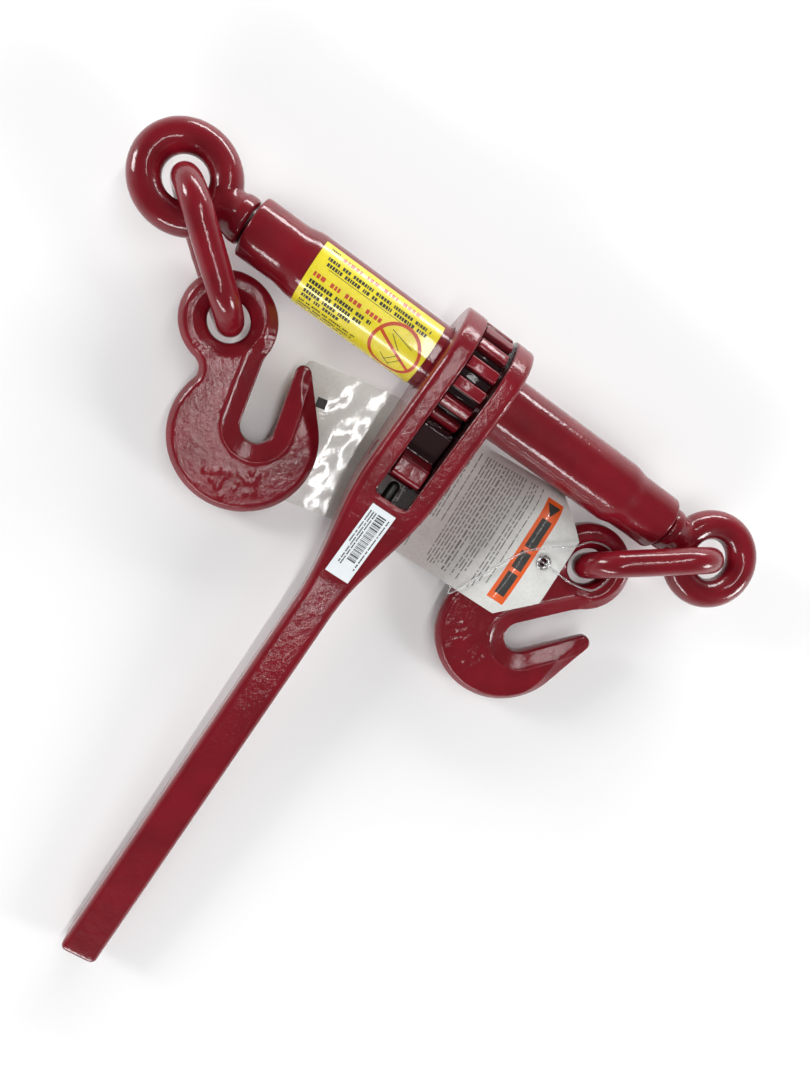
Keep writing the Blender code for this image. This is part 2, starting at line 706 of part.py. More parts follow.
def build_tag(seat):
    """The card, seen from its eyelet: it runs along X, sinks to the ground and turns a little as it bends."""
    step = TAG_LENGTH / TAG_STEPS
    centre = Vector((-EYELET_INSET, 0))
    loops = []
    for i in range(TAG_STEPS + 1):
        u = i * step
        turn = TAG_TURN * eased((u - TAG_LENGTH * 0.3) / (TAG_LENGTH * 0.6))
        across = Vector((-math.sin(turn), math.cos(turn)))
        half = TAG_HALF_WIDTH - max(TAG_CORNER - u, 0)
        under = []
        for k in range(TAG_STRIPS + 1):
            v = half * (2 * k / TAG_STRIPS - 1)
            under.append((centre + across * v).to_3d() + Vector((0, 0, tag_height(u, v))))
        over = [point + Vector((0, 0, TAG_THICKNESS)) for point in reversed(under)]
        loops.append(under + over)
        centre = centre + Vector((math.cos(turn), math.sin(turn))) * step
    tag = add_object("hang_tag", loft(loops), seat, "tag_card", smooth=False)
    neck_r = EYELET_R - 1.2 * MM
    hole = prism(ring_points(neck_r, 18), -10 * MM, 10 * MM, "Z")
    boolean(tag, add_cutter("cut_eyelet_hole", hole, seat))

    bottom = tag_height(EYELET_INSET, 0) - GAP
    top = bottom + TAG_THICKNESS + 2 * GAP
    lip = 0.45 * MM
    profile = [
        (bottom - lip, EYELET_HOLE_R),
        (bottom - lip, EYELET_R),
        (bottom, EYELET_R),
        (bottom, neck_r - GAP),
        (top, neck_r - GAP),
        (top, EYELET_R),
        (top + lip, EYELET_R),
        (top + lip, EYELET_HOLE_R),
    ]
    bm = turned(profile, 18)
    bmesh.ops.rotate(bm, verts=bm.verts, cent=(0, 0, 0), matrix=Matrix.Rotation(-math.pi / 2, 3, "Y"))
    add_object("tag_eyelet", bm, seat, "bare_steel")
    return tag


def smooth_loop(points, count):
    """Points on a closed Catmull-Rom curve through the given ones."""
    out = []
    for i in range(len(points)):
        a, b, c, d = (points[(i + k - 1) % len(points)] for k in range(4))
        for step in range(count):
            t = step / count
            bend = (2 * a - 5 * b + 4 * c - d) * t * t + (3 * b - a - 3 * c + d) * t * t * t
            out.append(0.5 * (2 * b + (c - a) * t + bend))
    return out


def build_tag_loop(root):
    """A closed loop of clear wire through the eyelet and round the foot of the right link."""
    route = [Vector(point) * MM for point in LOOP_ON_CARD]
    for radius, angle, height in LOOP_ROUND_LINK:
        turn = math.radians(angle)
        point = Vector((radius * math.cos(turn), radius * math.sin(turn), height)) * MM
        route.append(RIGHT_HOOK_EYE + hook_turn(RIGHT_HOOK_HEADING) @ point)
    points = smooth_loop(route, LOOP_STEPS)
    curve = bpy.data.curves.new("tag_loop", "CURVE")
    curve.dimensions = "3D"
    curve.bevel_depth = LOOP_WIRE_R
    curve.bevel_resolution = 2
    spline = curve.splines.new("POLY")
    spline.points.add(len(points) - 1)
    for slot, point in zip(spline.points, points):
        slot.co = (*point, 1)
    spline.use_cyclic_u = True
    curve.materials.append(bpy.data.materials["clear_plastic"])
    loop = bpy.data.objects.new("tag_loop", curve)
    loop.parent = root
    bpy.context.scene.collection.objects.link(loop)
    return loop


def main():
    clear_scene()
    make_materials()
    root = add_empty("binder", ORIGIN)
    build_barrel(root)
    build_gear(root)
    build_label(root)
    pivot = add_empty("handle_axis", (0, 0, 0), root)
    pivot.rotation_euler.x = HANDLE_DROP
    build_handle(pivot)
    build_sticker(pivot)
    seat = add_empty("pawl_axis", (0, PAWL_Y, 0), pivot)
    build_pawl(pivot, seat)
    ends = [
        (-1, "left", LEFT_HOOK_EYE, LEFT_HOOK_HEADING, LEFT_LINK_ROLL),
        (1, "right", RIGHT_HOOK_EYE, RIGHT_HOOK_HEADING, RIGHT_LINK_ROLL),
    ]
    for side, name, eye, way, roll in ends:
        ring = Vector((side * RING_X, 0, 0))
        build_eye_screw(side, root)
        build_link(name + "_link", ring, eye, way, roll, add_empty(name + "_ring_axis", ring, root))
        build_hook(name + "_hook", eye, way, root)
    seat = add_empty("eyelet_axis", TAG_EYELET, root)
    seat.rotation_euler.z = TAG_HEADING
    build_tag(seat)
    build_tag_loop(root)


main()
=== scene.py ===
"""The looks of the ratchet load binder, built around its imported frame. All lengths are in metres."""

import math
import random

import bmesh
import bpy
import numpy as np
from mathutils import Matrix, Vector
from mathutils.geometry import delaunay_2d_cdt


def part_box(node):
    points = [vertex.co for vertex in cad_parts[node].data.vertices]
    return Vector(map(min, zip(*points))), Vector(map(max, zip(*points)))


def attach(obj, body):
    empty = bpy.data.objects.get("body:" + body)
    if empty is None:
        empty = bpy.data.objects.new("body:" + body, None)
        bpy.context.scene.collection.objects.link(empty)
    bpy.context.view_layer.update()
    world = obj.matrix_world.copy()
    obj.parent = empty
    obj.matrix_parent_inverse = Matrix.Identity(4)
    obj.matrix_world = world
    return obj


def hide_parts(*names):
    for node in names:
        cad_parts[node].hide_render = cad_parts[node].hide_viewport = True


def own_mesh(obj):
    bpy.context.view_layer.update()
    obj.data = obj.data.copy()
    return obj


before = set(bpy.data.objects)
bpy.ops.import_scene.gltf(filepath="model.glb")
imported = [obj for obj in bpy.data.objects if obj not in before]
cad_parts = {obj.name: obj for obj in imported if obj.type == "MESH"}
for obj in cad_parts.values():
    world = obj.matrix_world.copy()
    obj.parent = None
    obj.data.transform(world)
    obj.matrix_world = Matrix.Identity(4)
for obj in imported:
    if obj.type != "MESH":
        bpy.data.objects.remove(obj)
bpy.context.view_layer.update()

MM = 0.001
UP = Vector((0, 0, 1))

# The centre of the barrel, and the handle's turn about it.
low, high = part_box("barrel_tube")
ORIGIN = (low + high) / 2
BARREL_LENGTH = high.x - low.x
BARREL_R = (high.z - low.z) / 2
BOSS_R = 31 * MM
BAR_HALF_HEIGHT = 8.5 * MM
HANDLE_LENGTH = 366 * MM
HANDLE_DROP = math.asin((BOSS_R - BAR_HALF_HEIGHT) / HANDLE_LENGTH)
PLACE = Matrix.Translation(ORIGIN)
HANDLE_PLACE = PLACE @ Matrix.Rotation(HANDLE_DROP, 4, "X")

# The photograph's camera, about the centre of the barrel.
CAMERA_AT = Vector((-0.0683, -0.0828, 0.4147))
CAMERA_TURN = (math.radians(-6.77), math.radians(-9.60), math.radians(34.30))
CAMERA_LENS = 27.33


# ---------------------------------------------------------------- mesh helpers


def arc(centre, radius, start, end, steps):
    """Points on an arc in the plane, both ends included."""
    points = []
    for i in range(steps + 1):
        angle = start + (end - start) * i / steps
        points.append(Vector((centre[0] + radius * math.cos(angle), centre[1] + radius * math.sin(angle))))
    return points


def ring_points(radius, count):
    return arc((0, 0), radius, 0, math.tau, count)[:-1]


def heading(vector):
    return math.atan2(vector[1], vector[0])


def eased(t):
    t = min(max(t, 0), 1)
    return t * t * (3 - 2 * t)


def finish_mesh(name, bm, place, materials, sharp=None):
    """Closes a bmesh into an object with shape and place in the row frame, smooth up to the sharp angle."""
    bmesh.ops.recalc_face_normals(bm, faces=bm.faces)
    bmesh.ops.transform(bm, matrix=place, verts=bm.verts)
    mesh = bpy.data.meshes.new(name)
    bm.to_mesh(mesh)
    bm.free()
    mesh.shade_smooth()
    if sharp:
        mesh.set_sharp_from_angle(angle=math.radians(sharp))
    for material in materials:
        mesh.materials.append(material)
    obj = bpy.data.objects.new(name, mesh)
    bpy.context.scene.collection.objects.link(obj)
    return obj


def apply_modifiers(obj):
    """Bakes the modifiers into the mesh."""
    graph = bpy.context.evaluated_depsgraph_get()
    baked = bpy.data.meshes.new_from_object(obj.evaluated_get(graph))
    obj.modifiers.clear()
    obj.data = baked
    return obj


def boolean(obj, other, operation="DIFFERENCE", solver="MANIFOLD"):
    modifier = obj.modifiers.new(other.name, "BOOLEAN")
    modifier.operation = operation
    modifier.solver = solver
    modifier.object = other
    apply_modifiers(obj)
    bpy.data.objects.remove(other)


def soften(obj, voxel, rounds):
    """Remeshes a cut solid evenly and rounds its edges, as thick paint over a forging does."""
    remesh = obj.modifiers.new("remesh", "REMESH")
    remesh.mode = "VOXEL"
    remesh.voxel_size = voxel
    smooth = obj.modifiers.new("smooth", "SMOOTH")
    smooth.factor = 0.5
    smooth.iterations = rounds
    apply_modifiers(obj)
    obj.data.shade_smooth()
    return obj


def bevelled(obj, width, segments=3, angle=35):
    bevel = obj.modifiers.new("bevel", "BEVEL")
    bevel.width = width
    bevel.segments = segments
    bevel.limit_method = "ANGLE"
    bevel.angle_limit = math.radians(angle)
    bevel.harden_normals = False
    apply_modifiers(obj)
    obj.data.shade_smooth()
    return obj


def turned(profile, segments):
    """Spins a profile of (x, radius) points about X. It closes on itself unless it ends on the axis."""
    loops = []
    for i in range(segments):
        angle = math.tau * i / segments
        loops.append([Vector((x, -r * math.sin(angle), r * math.cos(angle))) for x, r in profile])
    bm = bmesh.new()
    open_ends = profile[0][1] == 0
    rings = [[bm.verts.new(p) for p in loop] for loop in loops]
    last = len(profile) - 1 if open_ends else len(profile)
    for i in range(segments):
        near, far = rings[i], rings[(i + 1) % segments]
        for k in range(last):
            m = (k + 1) % len(profile)
            bm.faces.new((near[k], near[m], far[m], far[k]))
    if open_ends:
        bmesh.ops.remove_doubles(bm, verts=bm.verts, dist=0.0005 * MM)
        bmesh.ops.dissolve_degenerate(bm, edges=bm.edges, dist=0.0001 * MM)
    return bm


def prism(points, low_end, high_end, axis="X"):
    """Extrudes a closed outline along X, Y or Z."""
    place = {
        "X": lambda p, t: (t, p[0], p[1]),
        "Y": lambda p, t: (p[0], t, p[1]),
        "Z": lambda p, t: (p[0], p[1], t),
    }[axis]
    return loft([[place(p, low_end) for p in points], [place(p, high_end) for p in points]])


def loft(loops, closed=False):
    """Joins equal loops of points, one after another, and caps both ends unless it closes on itself."""
    bm = bmesh.new()
    rings = [[bm.verts.new(point) for point in loop] for loop in loops]
    pairs = list(zip(rings, rings[1:]))
    if closed:
        pairs.append((rings[-1], rings[0]))
    for near, far in pairs:
        for i in range(len(near)):
            j = (i + 1) % len(near)
            bm.faces.new((near[i], near[j], far[j], far[i]))
    if not closed:
        bm.faces.new(rings[0])
        bm.faces.new(rings[-1])
    return bm


# ---------------------------------------------------------------- materials


class Nodes:
    """A short way to write a material's node tree."""

    def __init__(self, name):
        self.material = bpy.data.materials.new(name)
        self.material.use_nodes = True
        self.tree = self.material.node_tree
        self.shader = self.tree.nodes["Principled BSDF"]
        self.place = self.add("ShaderNodeTexCoord").outputs["Object"]

    def add(self, kind, values=None, **settings):
        node = self.tree.nodes.new(kind)
        for key, value in settings.items():
            setattr(node, key, value)
        for key, value in (values or {}).items():
            if isinstance(value, bpy.types.NodeSocket):
                self.tree.links.new(value, node.inputs[key])
            else:
                node.inputs[key].default_value = value
        return node

    def noise(self, scale, detail=2.0, roughness=0.5, where=None):
        values = {"Vector": where or self.place, "Scale": scale, "Detail": detail, "Roughness": roughness}
        return self.add("ShaderNodeTexNoise", values).outputs["Fac"]

    def range(self, value, low_in, high_in, low_out, high_out):
        values = {0: value, 1: low_in, 2: high_in, 3: low_out, 4: high_out}
        return self.add("ShaderNodeMapRange", values).outputs[0]

    def mix(self, factor, first, second):
        values = {"Factor": factor, 6: (*first, 1) if isinstance(first, tuple) else first}
        values[7] = (*second, 1) if isinstance(second, tuple) else second
        return self.add("ShaderNodeMix", values, data_type="RGBA").outputs[2]

    def bump(self, height, distance, strength=1.0, under=None):
        values = {"Height": height, "Distance": distance, "Strength": strength}
        if under is not None:
            values["Normal"] = under
        return self.add("ShaderNodeBump", values).outputs["Normal"]

    def set(self, **values):
        for key, value in values.items():
            socket = self.shader.inputs[key.replace("_", " ")]
            if isinstance(value, bpy.types.NodeSocket):
                self.tree.links.new(value, socket)
            else:
                socket.default_value = value


def make_paint(name, grain, lumps, painted_shade=None):
    """Thick glossy crimson paint. Grain is the fine roughness that shows through it, lumps the forging's.
    The painted shade function, if given, returns a share from 0 to 1 of how much painted shade darkens the
    paint and makes it rougher."""
    n = Nodes(name)
    colour = n.mix(
        n.range(n.noise(55, 3), 0.35, 0.65, 0, 1), (0.190, 0.0040, 0.0115), (0.150, 0.0030, 0.0088)
    )
    # Painted shade: the paint is darkened in creases and hollows, where the pointiness falls below that of a
    # flat surface.
    pointy = n.add("ShaderNodeNewGeometry").outputs["Pointiness"]
    colour = n.mix(n.range(pointy, 0.42, 0.495, 0.75, 0), colour, (0.045, 0.002, 0.004))
    roughness = n.range(n.noise(900, 3, 0.6), 0.3, 0.7, 0.34, 0.46)
    if painted_shade:
        # Painted shade: the paint is darkened, and made rougher, where the given function says shade falls.
        share = painted_shade(n)
        colour = n.mix(share, colour, (0.012, 0.0035, 0.004))
        roughness = n.range(share, 0, 1, 0.38, 0.6)
    orange_peel = n.bump(n.noise(420, 1), 0.08 * MM)
    speckle = n.bump(n.noise(1700, 2, 0.7), grain, 1.0, orange_peel)
    forging = n.bump(n.noise(170, 3, 0.55), lumps, 1.0, speckle)
    n.set(
        Base_Color=colour,
        Roughness=roughness,
        Specular_IOR_Level=0.12,
        Normal=forging,
        Coat_Weight=0.85,
        Coat_Roughness=0.06,
        Coat_Normal=forging,
    )
    return n.material


def gear_root_painted_shade(n):
    """Painted shade, darker towards the roots of the teeth, by distance from the barrel's axis."""
    from_axis = n.add("ShaderNodeVectorMath", {0: n.place, 1: tuple(ORIGIN)}, operation="SUBTRACT").outputs[0]
    flat = n.add("ShaderNodeVectorMath", {0: from_axis, 1: (0, 1, 1)}, operation="MULTIPLY").outputs[0]
    distance = n.add("ShaderNodeVectorMath", {0: flat}, operation="LENGTH").outputs["Value"]
    rough_edge = n.range(n.noise(260, 3), 0.3, 0.7, -0.6 * MM, 0.6 * MM)
    moved = n.add("ShaderNodeMath", {0: distance, 1: rough_edge}, operation="ADD").outputs[0]
    return n.range(moved, 26.0 * MM, 29.4 * MM, 0.96, 0.0)


def window_wall_painted_shade(n):
    """Painted shade on the walls of the handle's window."""
    from_pawl = n.add(
        "ShaderNodeVectorMath", {0: n.place, 1: tuple(PAWL_AT)}, operation="SUBTRACT"
    ).outputs[0]
    parts = n.add("ShaderNodeSeparateXYZ", {0: from_pawl}).outputs
    off_middle = n.add("ShaderNodeMath", {0: parts["X"], 1: 1.8 * MM}, operation="ADD").outputs[0]
    sideways = n.add("ShaderNodeMath", {0: off_middle}, operation="ABSOLUTE").outputs[0]
    between = n.range(sideways, 9.3 * MM, 10.0 * MM, 0.95, 0.0)
    beyond = n.range(parts["Y"], -19.0 * MM, -18.2 * MM, 0.0, 1.0)
    return n.add("ShaderNodeMath", {0: between, 1: beyond}, operation="MULTIPLY").outputs[0]


def pawl_claw_painted_shade(n):
    """Painted shade on the claws, and none on the thumb tabs."""
    from_pawl = n.add(
        "ShaderNodeVectorMath", {0: n.place, 1: tuple(PAWL_AT)}, operation="SUBTRACT"
    ).outputs[0]
    along = n.add(
        "ShaderNodeVectorMath", {0: from_pawl, 1: (0, 1, 0)}, operation="DOT_PRODUCT"
    ).outputs["Value"]
    rough_edge = n.range(n.noise(260, 3), 0.3, 0.7, -0.8 * MM, 0.8 * MM)
    moved = n.add("ShaderNodeMath", {0: along, 1: rough_edge}, operation="ADD").outputs[0]
    return n.range(moved, 5.5 * MM, 9.0 * MM, 0.0, 0.94)


def make_metal(name, light, dark, rough, scale):
    n = Nodes(name)
    tone = n.noise(scale, 4, 0.65)
    n.set(
        Base_Color=n.mix(n.range(tone, 0.3, 0.7, 0, 1), light, dark),
        Roughness=n.range(n.noise(scale * 3, 3), 0.3, 0.7, rough - 0.08, rough + 0.08),
        Metallic=1.0,
        Normal=n.bump(n.noise(scale * 4, 3), 0.05 * MM),
    )
    return n.material


def make_film(name, light, dark, rough=0.3, coat=0.5, wave=0.0):
    """Printed film, card or ink: a faintly uneven colour under a glossy surface that may be wavy."""
    n = Nodes(name)
    n.set(
        Base_Color=n.mix(n.range(n.noise(120, 4, 0.6), 0.3, 0.7, 0, 1), light, dark),
        Roughness=n.range(n.noise(500, 2), 0.3, 0.7, rough - 0.05, rough + 0.06),
        Coat_Weight=coat,
        Coat_Roughness=0.06,
    )
    fine = n.bump(n.noise(900, 2), 0.02 * MM)
    waves = n.bump(n.noise(38, 1.5), wave, 1.0, fine)
    n.set(Normal=waves, Coat_Normal=waves)
    return n.material


def make_clear(name):
    n = Nodes(name)
    n.set(
        Base_Color=n.mix(n.noise(200, 2), (0.95, 0.96, 0.96), (0.88, 0.89, 0.90)),
        Roughness=n.range(n.noise(600, 2), 0.3, 0.7, 0.04, 0.12),
        Transmission_Weight=0.85,
        IOR=1.47,
    )
    return n.material


PAWL_AT = PLACE @ Matrix.Rotation(HANDLE_DROP, 4, "X") @ Vector((0, -54 * MM, 0))
PAINT = make_paint("red_paint_smooth", 0.028 * MM, 0.10 * MM)
FORGED = make_paint("red_paint_forged", 0.055 * MM, 0.26 * MM)
FORK_PAINT = make_paint("red_paint_fork", 0.055 * MM, 0.26 * MM, window_wall_painted_shade)
GEAR_PAINT = make_paint("red_paint_gear", 0.030 * MM, 0.2 * MM, gear_root_painted_shade)
PAWL_PAINT = make_paint("red_paint_pawl", 0.030 * MM, 0.2 * MM, pawl_claw_painted_shade)
STEEL = make_metal("bare_steel", (0.62, 0.61, 0.59), (0.38, 0.37, 0.36), 0.28, 220)
DARK_STEEL = make_metal("dark_steel", (0.16, 0.155, 0.15), (0.07, 0.068, 0.065), 0.42, 260)
YELLOW = make_film("yellow_label", (0.83, 0.70, 0.025), (0.72, 0.60, 0.02), 0.30, 0.6, 0.25 * MM)
WHITE = make_film("white_sticker", (0.86, 0.90, 0.92), (0.80, 0.85, 0.88), 0.34, 0.4, 0.1 * MM)
CARD = make_film("tag_card", (0.74, 0.74, 0.71), (0.68, 0.68, 0.65), 0.28, 0.8, 2.2 * MM)
INK_BLACK = make_film("ink_black", (0.012, 0.011, 0.010), (0.028, 0.026, 0.022), 0.5, 0.12)
INK_RED = make_film("ink_red", (0.55, 0.055, 0.012), (0.46, 0.04, 0.01), 0.38, 0.3)
INK_GREY = make_film("ink_grey", (0.035, 0.035, 0.033), (0.085, 0.085, 0.08), 0.5, 0.12)
INK_ORANGE = make_film("ink_orange", (0.80, 0.115, 0.012), (0.70, 0.09, 0.01), 0.34, 0.4)
CLEAR = make_clear("clear_plastic")


# ---------------------------------------------------------------- barrel, gear and label


SWAGE_R = 15.75 * MM
SWAGE_LENGTH = 23 * MM
SWAGE_TAPER = 8 * MM
BORE_R = 11.4 * MM
MIDDLE_BORE_R = 12.8 * MM
RIM_R = 1.6 * MM
GEAR_X = -2.6 * MM
GEAR_WIDTH = 16.4 * MM
GEAR_R = 30.2 * MM
GEAR_ROOT_R = 25.6 * MM
GEAR_TEETH = 16
GEAR_LAND = 0.5


def barrel_radius(from_end):
    """Outer radius of the barrel at a distance from its end, which is swaged down with a soft shoulder."""
    ease = eased((from_end - SWAGE_LENGTH + 2 * MM) / (SWAGE_TAPER + 3 * MM))
    radius = SWAGE_R + (BARREL_R - SWAGE_R) * ease
    rim = max(RIM_R - from_end, 0)
    return radius - (RIM_R - math.sqrt(RIM_R**2 - rim**2))


def make_barrel():
    """The barrel as one turned shell with swaged ends, and the weld bead along it."""
    half = BARREL_LENGTH / 2
    from_ends = [0, 0.2, 0.5, 0.9, 1.6, 8, 16, 20, 22, 24, 26, 28, 30, 32, 34, 36, 60, 100, 130]
    right = [(half - d * MM, barrel_radius(d * MM)) for d in from_ends]
    outer = right + [(-x, r) for x, r in reversed(right[:-1])]
    inner_half = [(half - 45 * MM, MIDDLE_BORE_R), (half - 21 * MM, MIDDLE_BORE_R)]
    inner_half += [(half - 20.5 * MM, BORE_R), (half - 1.2 * MM, BORE_R), (half - 0.2 * MM, BORE_R + 1.0 * MM)]
    inner = [(-x, r) for x, r in reversed(inner_half)] + inner_half
    barrel = finish_mesh("barrel_shell", turned(outer + inner, 128), PLACE, [PAINT], 50)
    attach(barrel, "barrel")
    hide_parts("barrel_tube")

    # The tube's weld line shows as a low bead along its front, right of the handle.
    loops = []
    steps = 60
    for i in range(steps + 1):
        x = 26 * MM + (half - SWAGE_LENGTH - SWAGE_TAPER - 30 * MM) * i / steps
        angle = math.radians(-52 + 0.8 * math.sin(i * 0.9))
        out = Vector((0, math.sin(angle), math.cos(angle)))
        side = Vector((0, math.cos(angle), -math.sin(angle)))
        swell = 0.35 * MM * min(1, i / 4, (steps - i) / 4) + 0.05 * MM
        foot = Vector((x, 0, 0)) + out * (BARREL_R - 0.12 * MM)
        loops.append([foot + side * swell * 2.0 * math.cos(a) + out * swell * math.sin(a) for a in
                      [math.radians(d) for d in range(0, 360, 45)]])
    bead = finish_mesh("barrel_seam", loft(loops), PLACE, [PAINT])
    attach(bead, "barrel")


def make_gear():
    """The toothed ring, with each edge broken."""
    pitch = math.tau / GEAR_TEETH
    half_land = pitch * GEAR_LAND / 2
    flank = pitch * 0.05
    outer = []
    inner = []
    for tooth in range(GEAR_TEETH):
        middle = math.pi + HANDLE_DROP + (tooth + 0.5) * pitch
        corners = [(-half_land - flank, GEAR_ROOT_R), (-half_land, GEAR_R - 0.1 * MM)]
        corners += [(-half_land * 0.5, GEAR_R), (0, GEAR_R), (half_land * 0.5, GEAR_R)]
        corners += [(half_land, GEAR_R - 0.1 * MM), (half_land + flank, GEAR_ROOT_R)]
        corners.append((pitch / 2, GEAR_ROOT_R))
        for offset, radius in corners:
            direction = Vector((math.cos(middle + offset), math.sin(middle + offset)))
            outer.append(direction * radius)
            inner.append(direction * (BARREL_R + 0.1 * MM))
    low_x = GEAR_X - GEAR_WIDTH / 2
    high_x = GEAR_X + GEAR_WIDTH / 2
    loops = [[(x, p.x, p.y) for p in points] for x, points in
             ((low_x, outer), (high_x, outer), (high_x, inner), (low_x, inner))]
    gear = finish_mesh("gear_ring", loft(loops, closed=True), PLACE, [GEAR_PAINT])
    bevelled(gear, 0.7 * MM, 3, 40)
    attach(gear, "barrel")
    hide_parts("ratchet_gear")


LABEL_X = (-96 * MM, -27 * MM)
LABEL_ANGLES = (-45, 118)
LABEL_R = BARREL_R + 0.3 * MM
LABEL_THICKNESS = 0.25 * MM
INK_LIFT = 0.05 * MM


def label_point(x, degrees, radius):
    """A point on the label. Degrees run from the top of the barrel down its front."""
    angle = math.radians(degrees)
    return Vector((x, -radius * math.sin(angle), radius * math.cos(angle)))


def wrapped(x_low, x_high, degrees_low, degrees_high, radius, thickness, steps):
    loops = []
    for i in range(steps + 1):
        angle = degrees_low + (degrees_high - degrees_low) * i / steps
        corners = (
            (x_low, radius), (x_low, radius + thickness), (x_high, radius + thickness), (x_high, radius)
        )
        loops.append([label_point(x, angle, r) for x, r in corners])
    return loft(loops)


def join_all(name, parts, place, materials):
    """One object from several bmeshes."""
    whole = bmesh.new()
    for part in parts:
        mesh = bpy.data.meshes.new("part")
        part.to_mesh(mesh)
        part.free()
        whole.from_mesh(mesh)
        bpy.data.meshes.remove(mesh)
    return finish_mesh(name, whole, place, materials, 40)


def words(rng, start, end, letter, gap):
    """Greeked text: words of plain strokes, of random lengths, along a line."""
    spans = []
    at = start
    while at < end - letter:
        for _ in range(rng.choice((2, 3, 3, 4, 5, 6, 7, 8))):
            width = letter * rng.choice((0.6, 0.9, 1.0, 1.2))
            if at + width > end:
                break
            spans.append((at, at + width))
            at += width + gap * 0.32
        at += gap * 1.3
    return spans


def make_label():
    rng = random.Random(5)
    base = wrapped(*LABEL_X, *LABEL_ANGLES, LABEL_R, LABEL_THICKNESS, 72)
    label = finish_mesh("label_film", base, PLACE, [YELLOW], 40)
    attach(label, "barrel")
    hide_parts("warning_label")
    ink_r = LABEL_R + LABEL_THICKNESS

    def bars(name, rows, material):
        parts = []
        for x_low, x_high, angle, tall, letter in rows:
            for a, b in words(rng, x_low * MM, x_high * MM, letter * MM, letter * MM):
                parts.append(wrapped(a, b, angle - tall / 2, angle + tall / 2, ink_r, INK_LIFT, 2))
        obj = join_all(name, parts, PLACE, [material])
        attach(obj, "barrel")

    bars("label_headings", [(-85, -36, -32, 7.0, 1.9), (-93, -54, 13, 7.0, 1.9)], INK_RED)
    rows = [(-92, -86, -36, 3.0, 0.8), (-91, -31, -18, 5.8, 1.15), (-90, -32, -9, 5.8, 1.15)]
    rows += [(-93, -58, 25, 6.0, 1.15), (-93, -62, 34, 6.0, 1.15), (-93, -66, 43, 6.0, 1.15)]
    rows += [(-93, -69, 52, 6.0, 1.15), (-93, -60, 63, 3.6, 0.8), (-93, -62, 71, 3.6, 0.8)]
    rows += [(-93, -66, 79, 3.2, 0.9), (-52, -30, 95, 3.2, 0.9), (-52, -34, 103, 3.2, 0.9)]
    bars("label_text", rows, INK_BLACK)
    line = wrapped(-88 * MM, -37 * MM, -3.6, -2.8, ink_r, INK_LIFT, 2)
    obj = finish_mesh("label_rule", line, PLACE, [INK_BLACK], 40)
    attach(obj, "barrel")

    # A plain ring with a bar across it, and a few plain lines in place of a drawing.
    centre_x, centre_angle = -42 * MM, 38
    ring_r = 12.6 * MM
    width = 1.7 * MM

    def on_label(p, lift):
        turn = centre_angle + math.degrees(p.y / BARREL_R)
        return label_point(centre_x + p.x, turn, ink_r + lift)

    def strip(path, half):
        loops = []
        for i, p in enumerate(path):
            way = (path[min(i + 1, len(path) - 1)] - path[max(i - 1, 0)]).normalized()
            side = Vector((-way.y, way.x)) * half
            loops.append([on_label(p - side, 0), on_label(p - side, INK_LIFT * 1.5),
                          on_label(p + side, INK_LIFT * 1.5), on_label(p + side, 0)])
        return loops

    circle = [p for p in ring_points(ring_r, 72)]
    loops = []
    for p in circle:
        side = p.normalized() * width / 2
        loops.append([on_label(p - side, 0), on_label(p - side, INK_LIFT * 1.5),
                      on_label(p + side, INK_LIFT * 1.5), on_label(p + side, 0)])
    slash_way = Vector((math.cos(math.radians(205)), math.sin(math.radians(205))))
    slash = [slash_way * ring_r * (1 - i / 8) for i in range(17)]
    ring_and_slash = [loft(loops, closed=True), loft(strip(slash, width * 0.45))]
    sign = join_all("label_ring", ring_and_slash, PLACE, [INK_RED])
    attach(sign, "barrel")
    parts = []
    for start, end in (
        ((-6, -8), (7, -5)), ((-5, -6.4), (2, -1)), ((3, 1), (-2, 8)), ((5.5, 2), (1, 9)), ((-5, 5), (2, 9.5))
    ):
        a, b = Vector(start) * MM, Vector(end) * MM
        parts.append(loft(strip([a.lerp(b, i / 8) for i in range(9)], 0.16 * MM)))
    lines = join_all("label_lines", parts, PLACE, [INK_BLACK])
    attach(lines, "barrel")


# ---------------------------------------------------------------- handle, pawl and sticker


HANDLE_X = -1.8 * MM
BOSS_HALF_WIDTH = 20.5 * MM
BAR_HALF_WIDTH = 10.4 * MM
FORK_STRAIGHT = 60 * MM
FORK_END = 140 * MM
WEDGE_END = 122 * MM
WINDOW_HALF_WIDTH = 9.25 * MM
WINDOW_END = 72 * MM
EDGE_R = 3.6 * MM
PAWL_Y = -54 * MM
PAWL_R = 7.6 * MM
PAWL_PIN_R = 4.0 * MM
PAWL_WIDTH = 16.6 * MM
PAWL_TAB_TOP = 18.5 * MM
PAWL_PLACE = HANDLE_PLACE @ Matrix.Translation((0, PAWL_Y, 0))


def fork_half_width(y):
    share = eased((y - FORK_STRAIGHT) / (FORK_END - FORK_STRAIGHT))
    return BOSS_HALF_WIDTH + (BAR_HALF_WIDTH - BOSS_HALF_WIDTH) * share


def handle_half_height(y):
    """The round boss, the straight flank that leaves it, then the bar."""
    end = Vector((WEDGE_END, BAR_HALF_HEIGHT))
    angle = heading(end) + math.acos(BOSS_R / end.length)
    touch = Vector((math.cos(angle), math.sin(angle))) * BOSS_R
    if y <= touch.x:
        return math.sqrt(max(BOSS_R**2 - y**2, 0))
    if y < WEDGE_END:
        return touch.y + (BAR_HALF_HEIGHT - touch.y) * (y - touch.x) / (WEDGE_END - touch.x)
    return BAR_HALF_HEIGHT


def handle_section(y, half_width, half_height, edge):
    edge = min(edge, half_height * 0.8, half_width * 0.8)
    points = []
    for side, up, start in ((1, 1, 0), (-1, 1, 90), (-1, -1, 180), (1, -1, 270)):
        centre = (side * (half_width - edge), up * (half_height - edge))
        points += arc(centre, edge, math.radians(start), math.radians(start + 90), 6)
    return [(HANDLE_X + p.x, -y, p.y) for p in points]


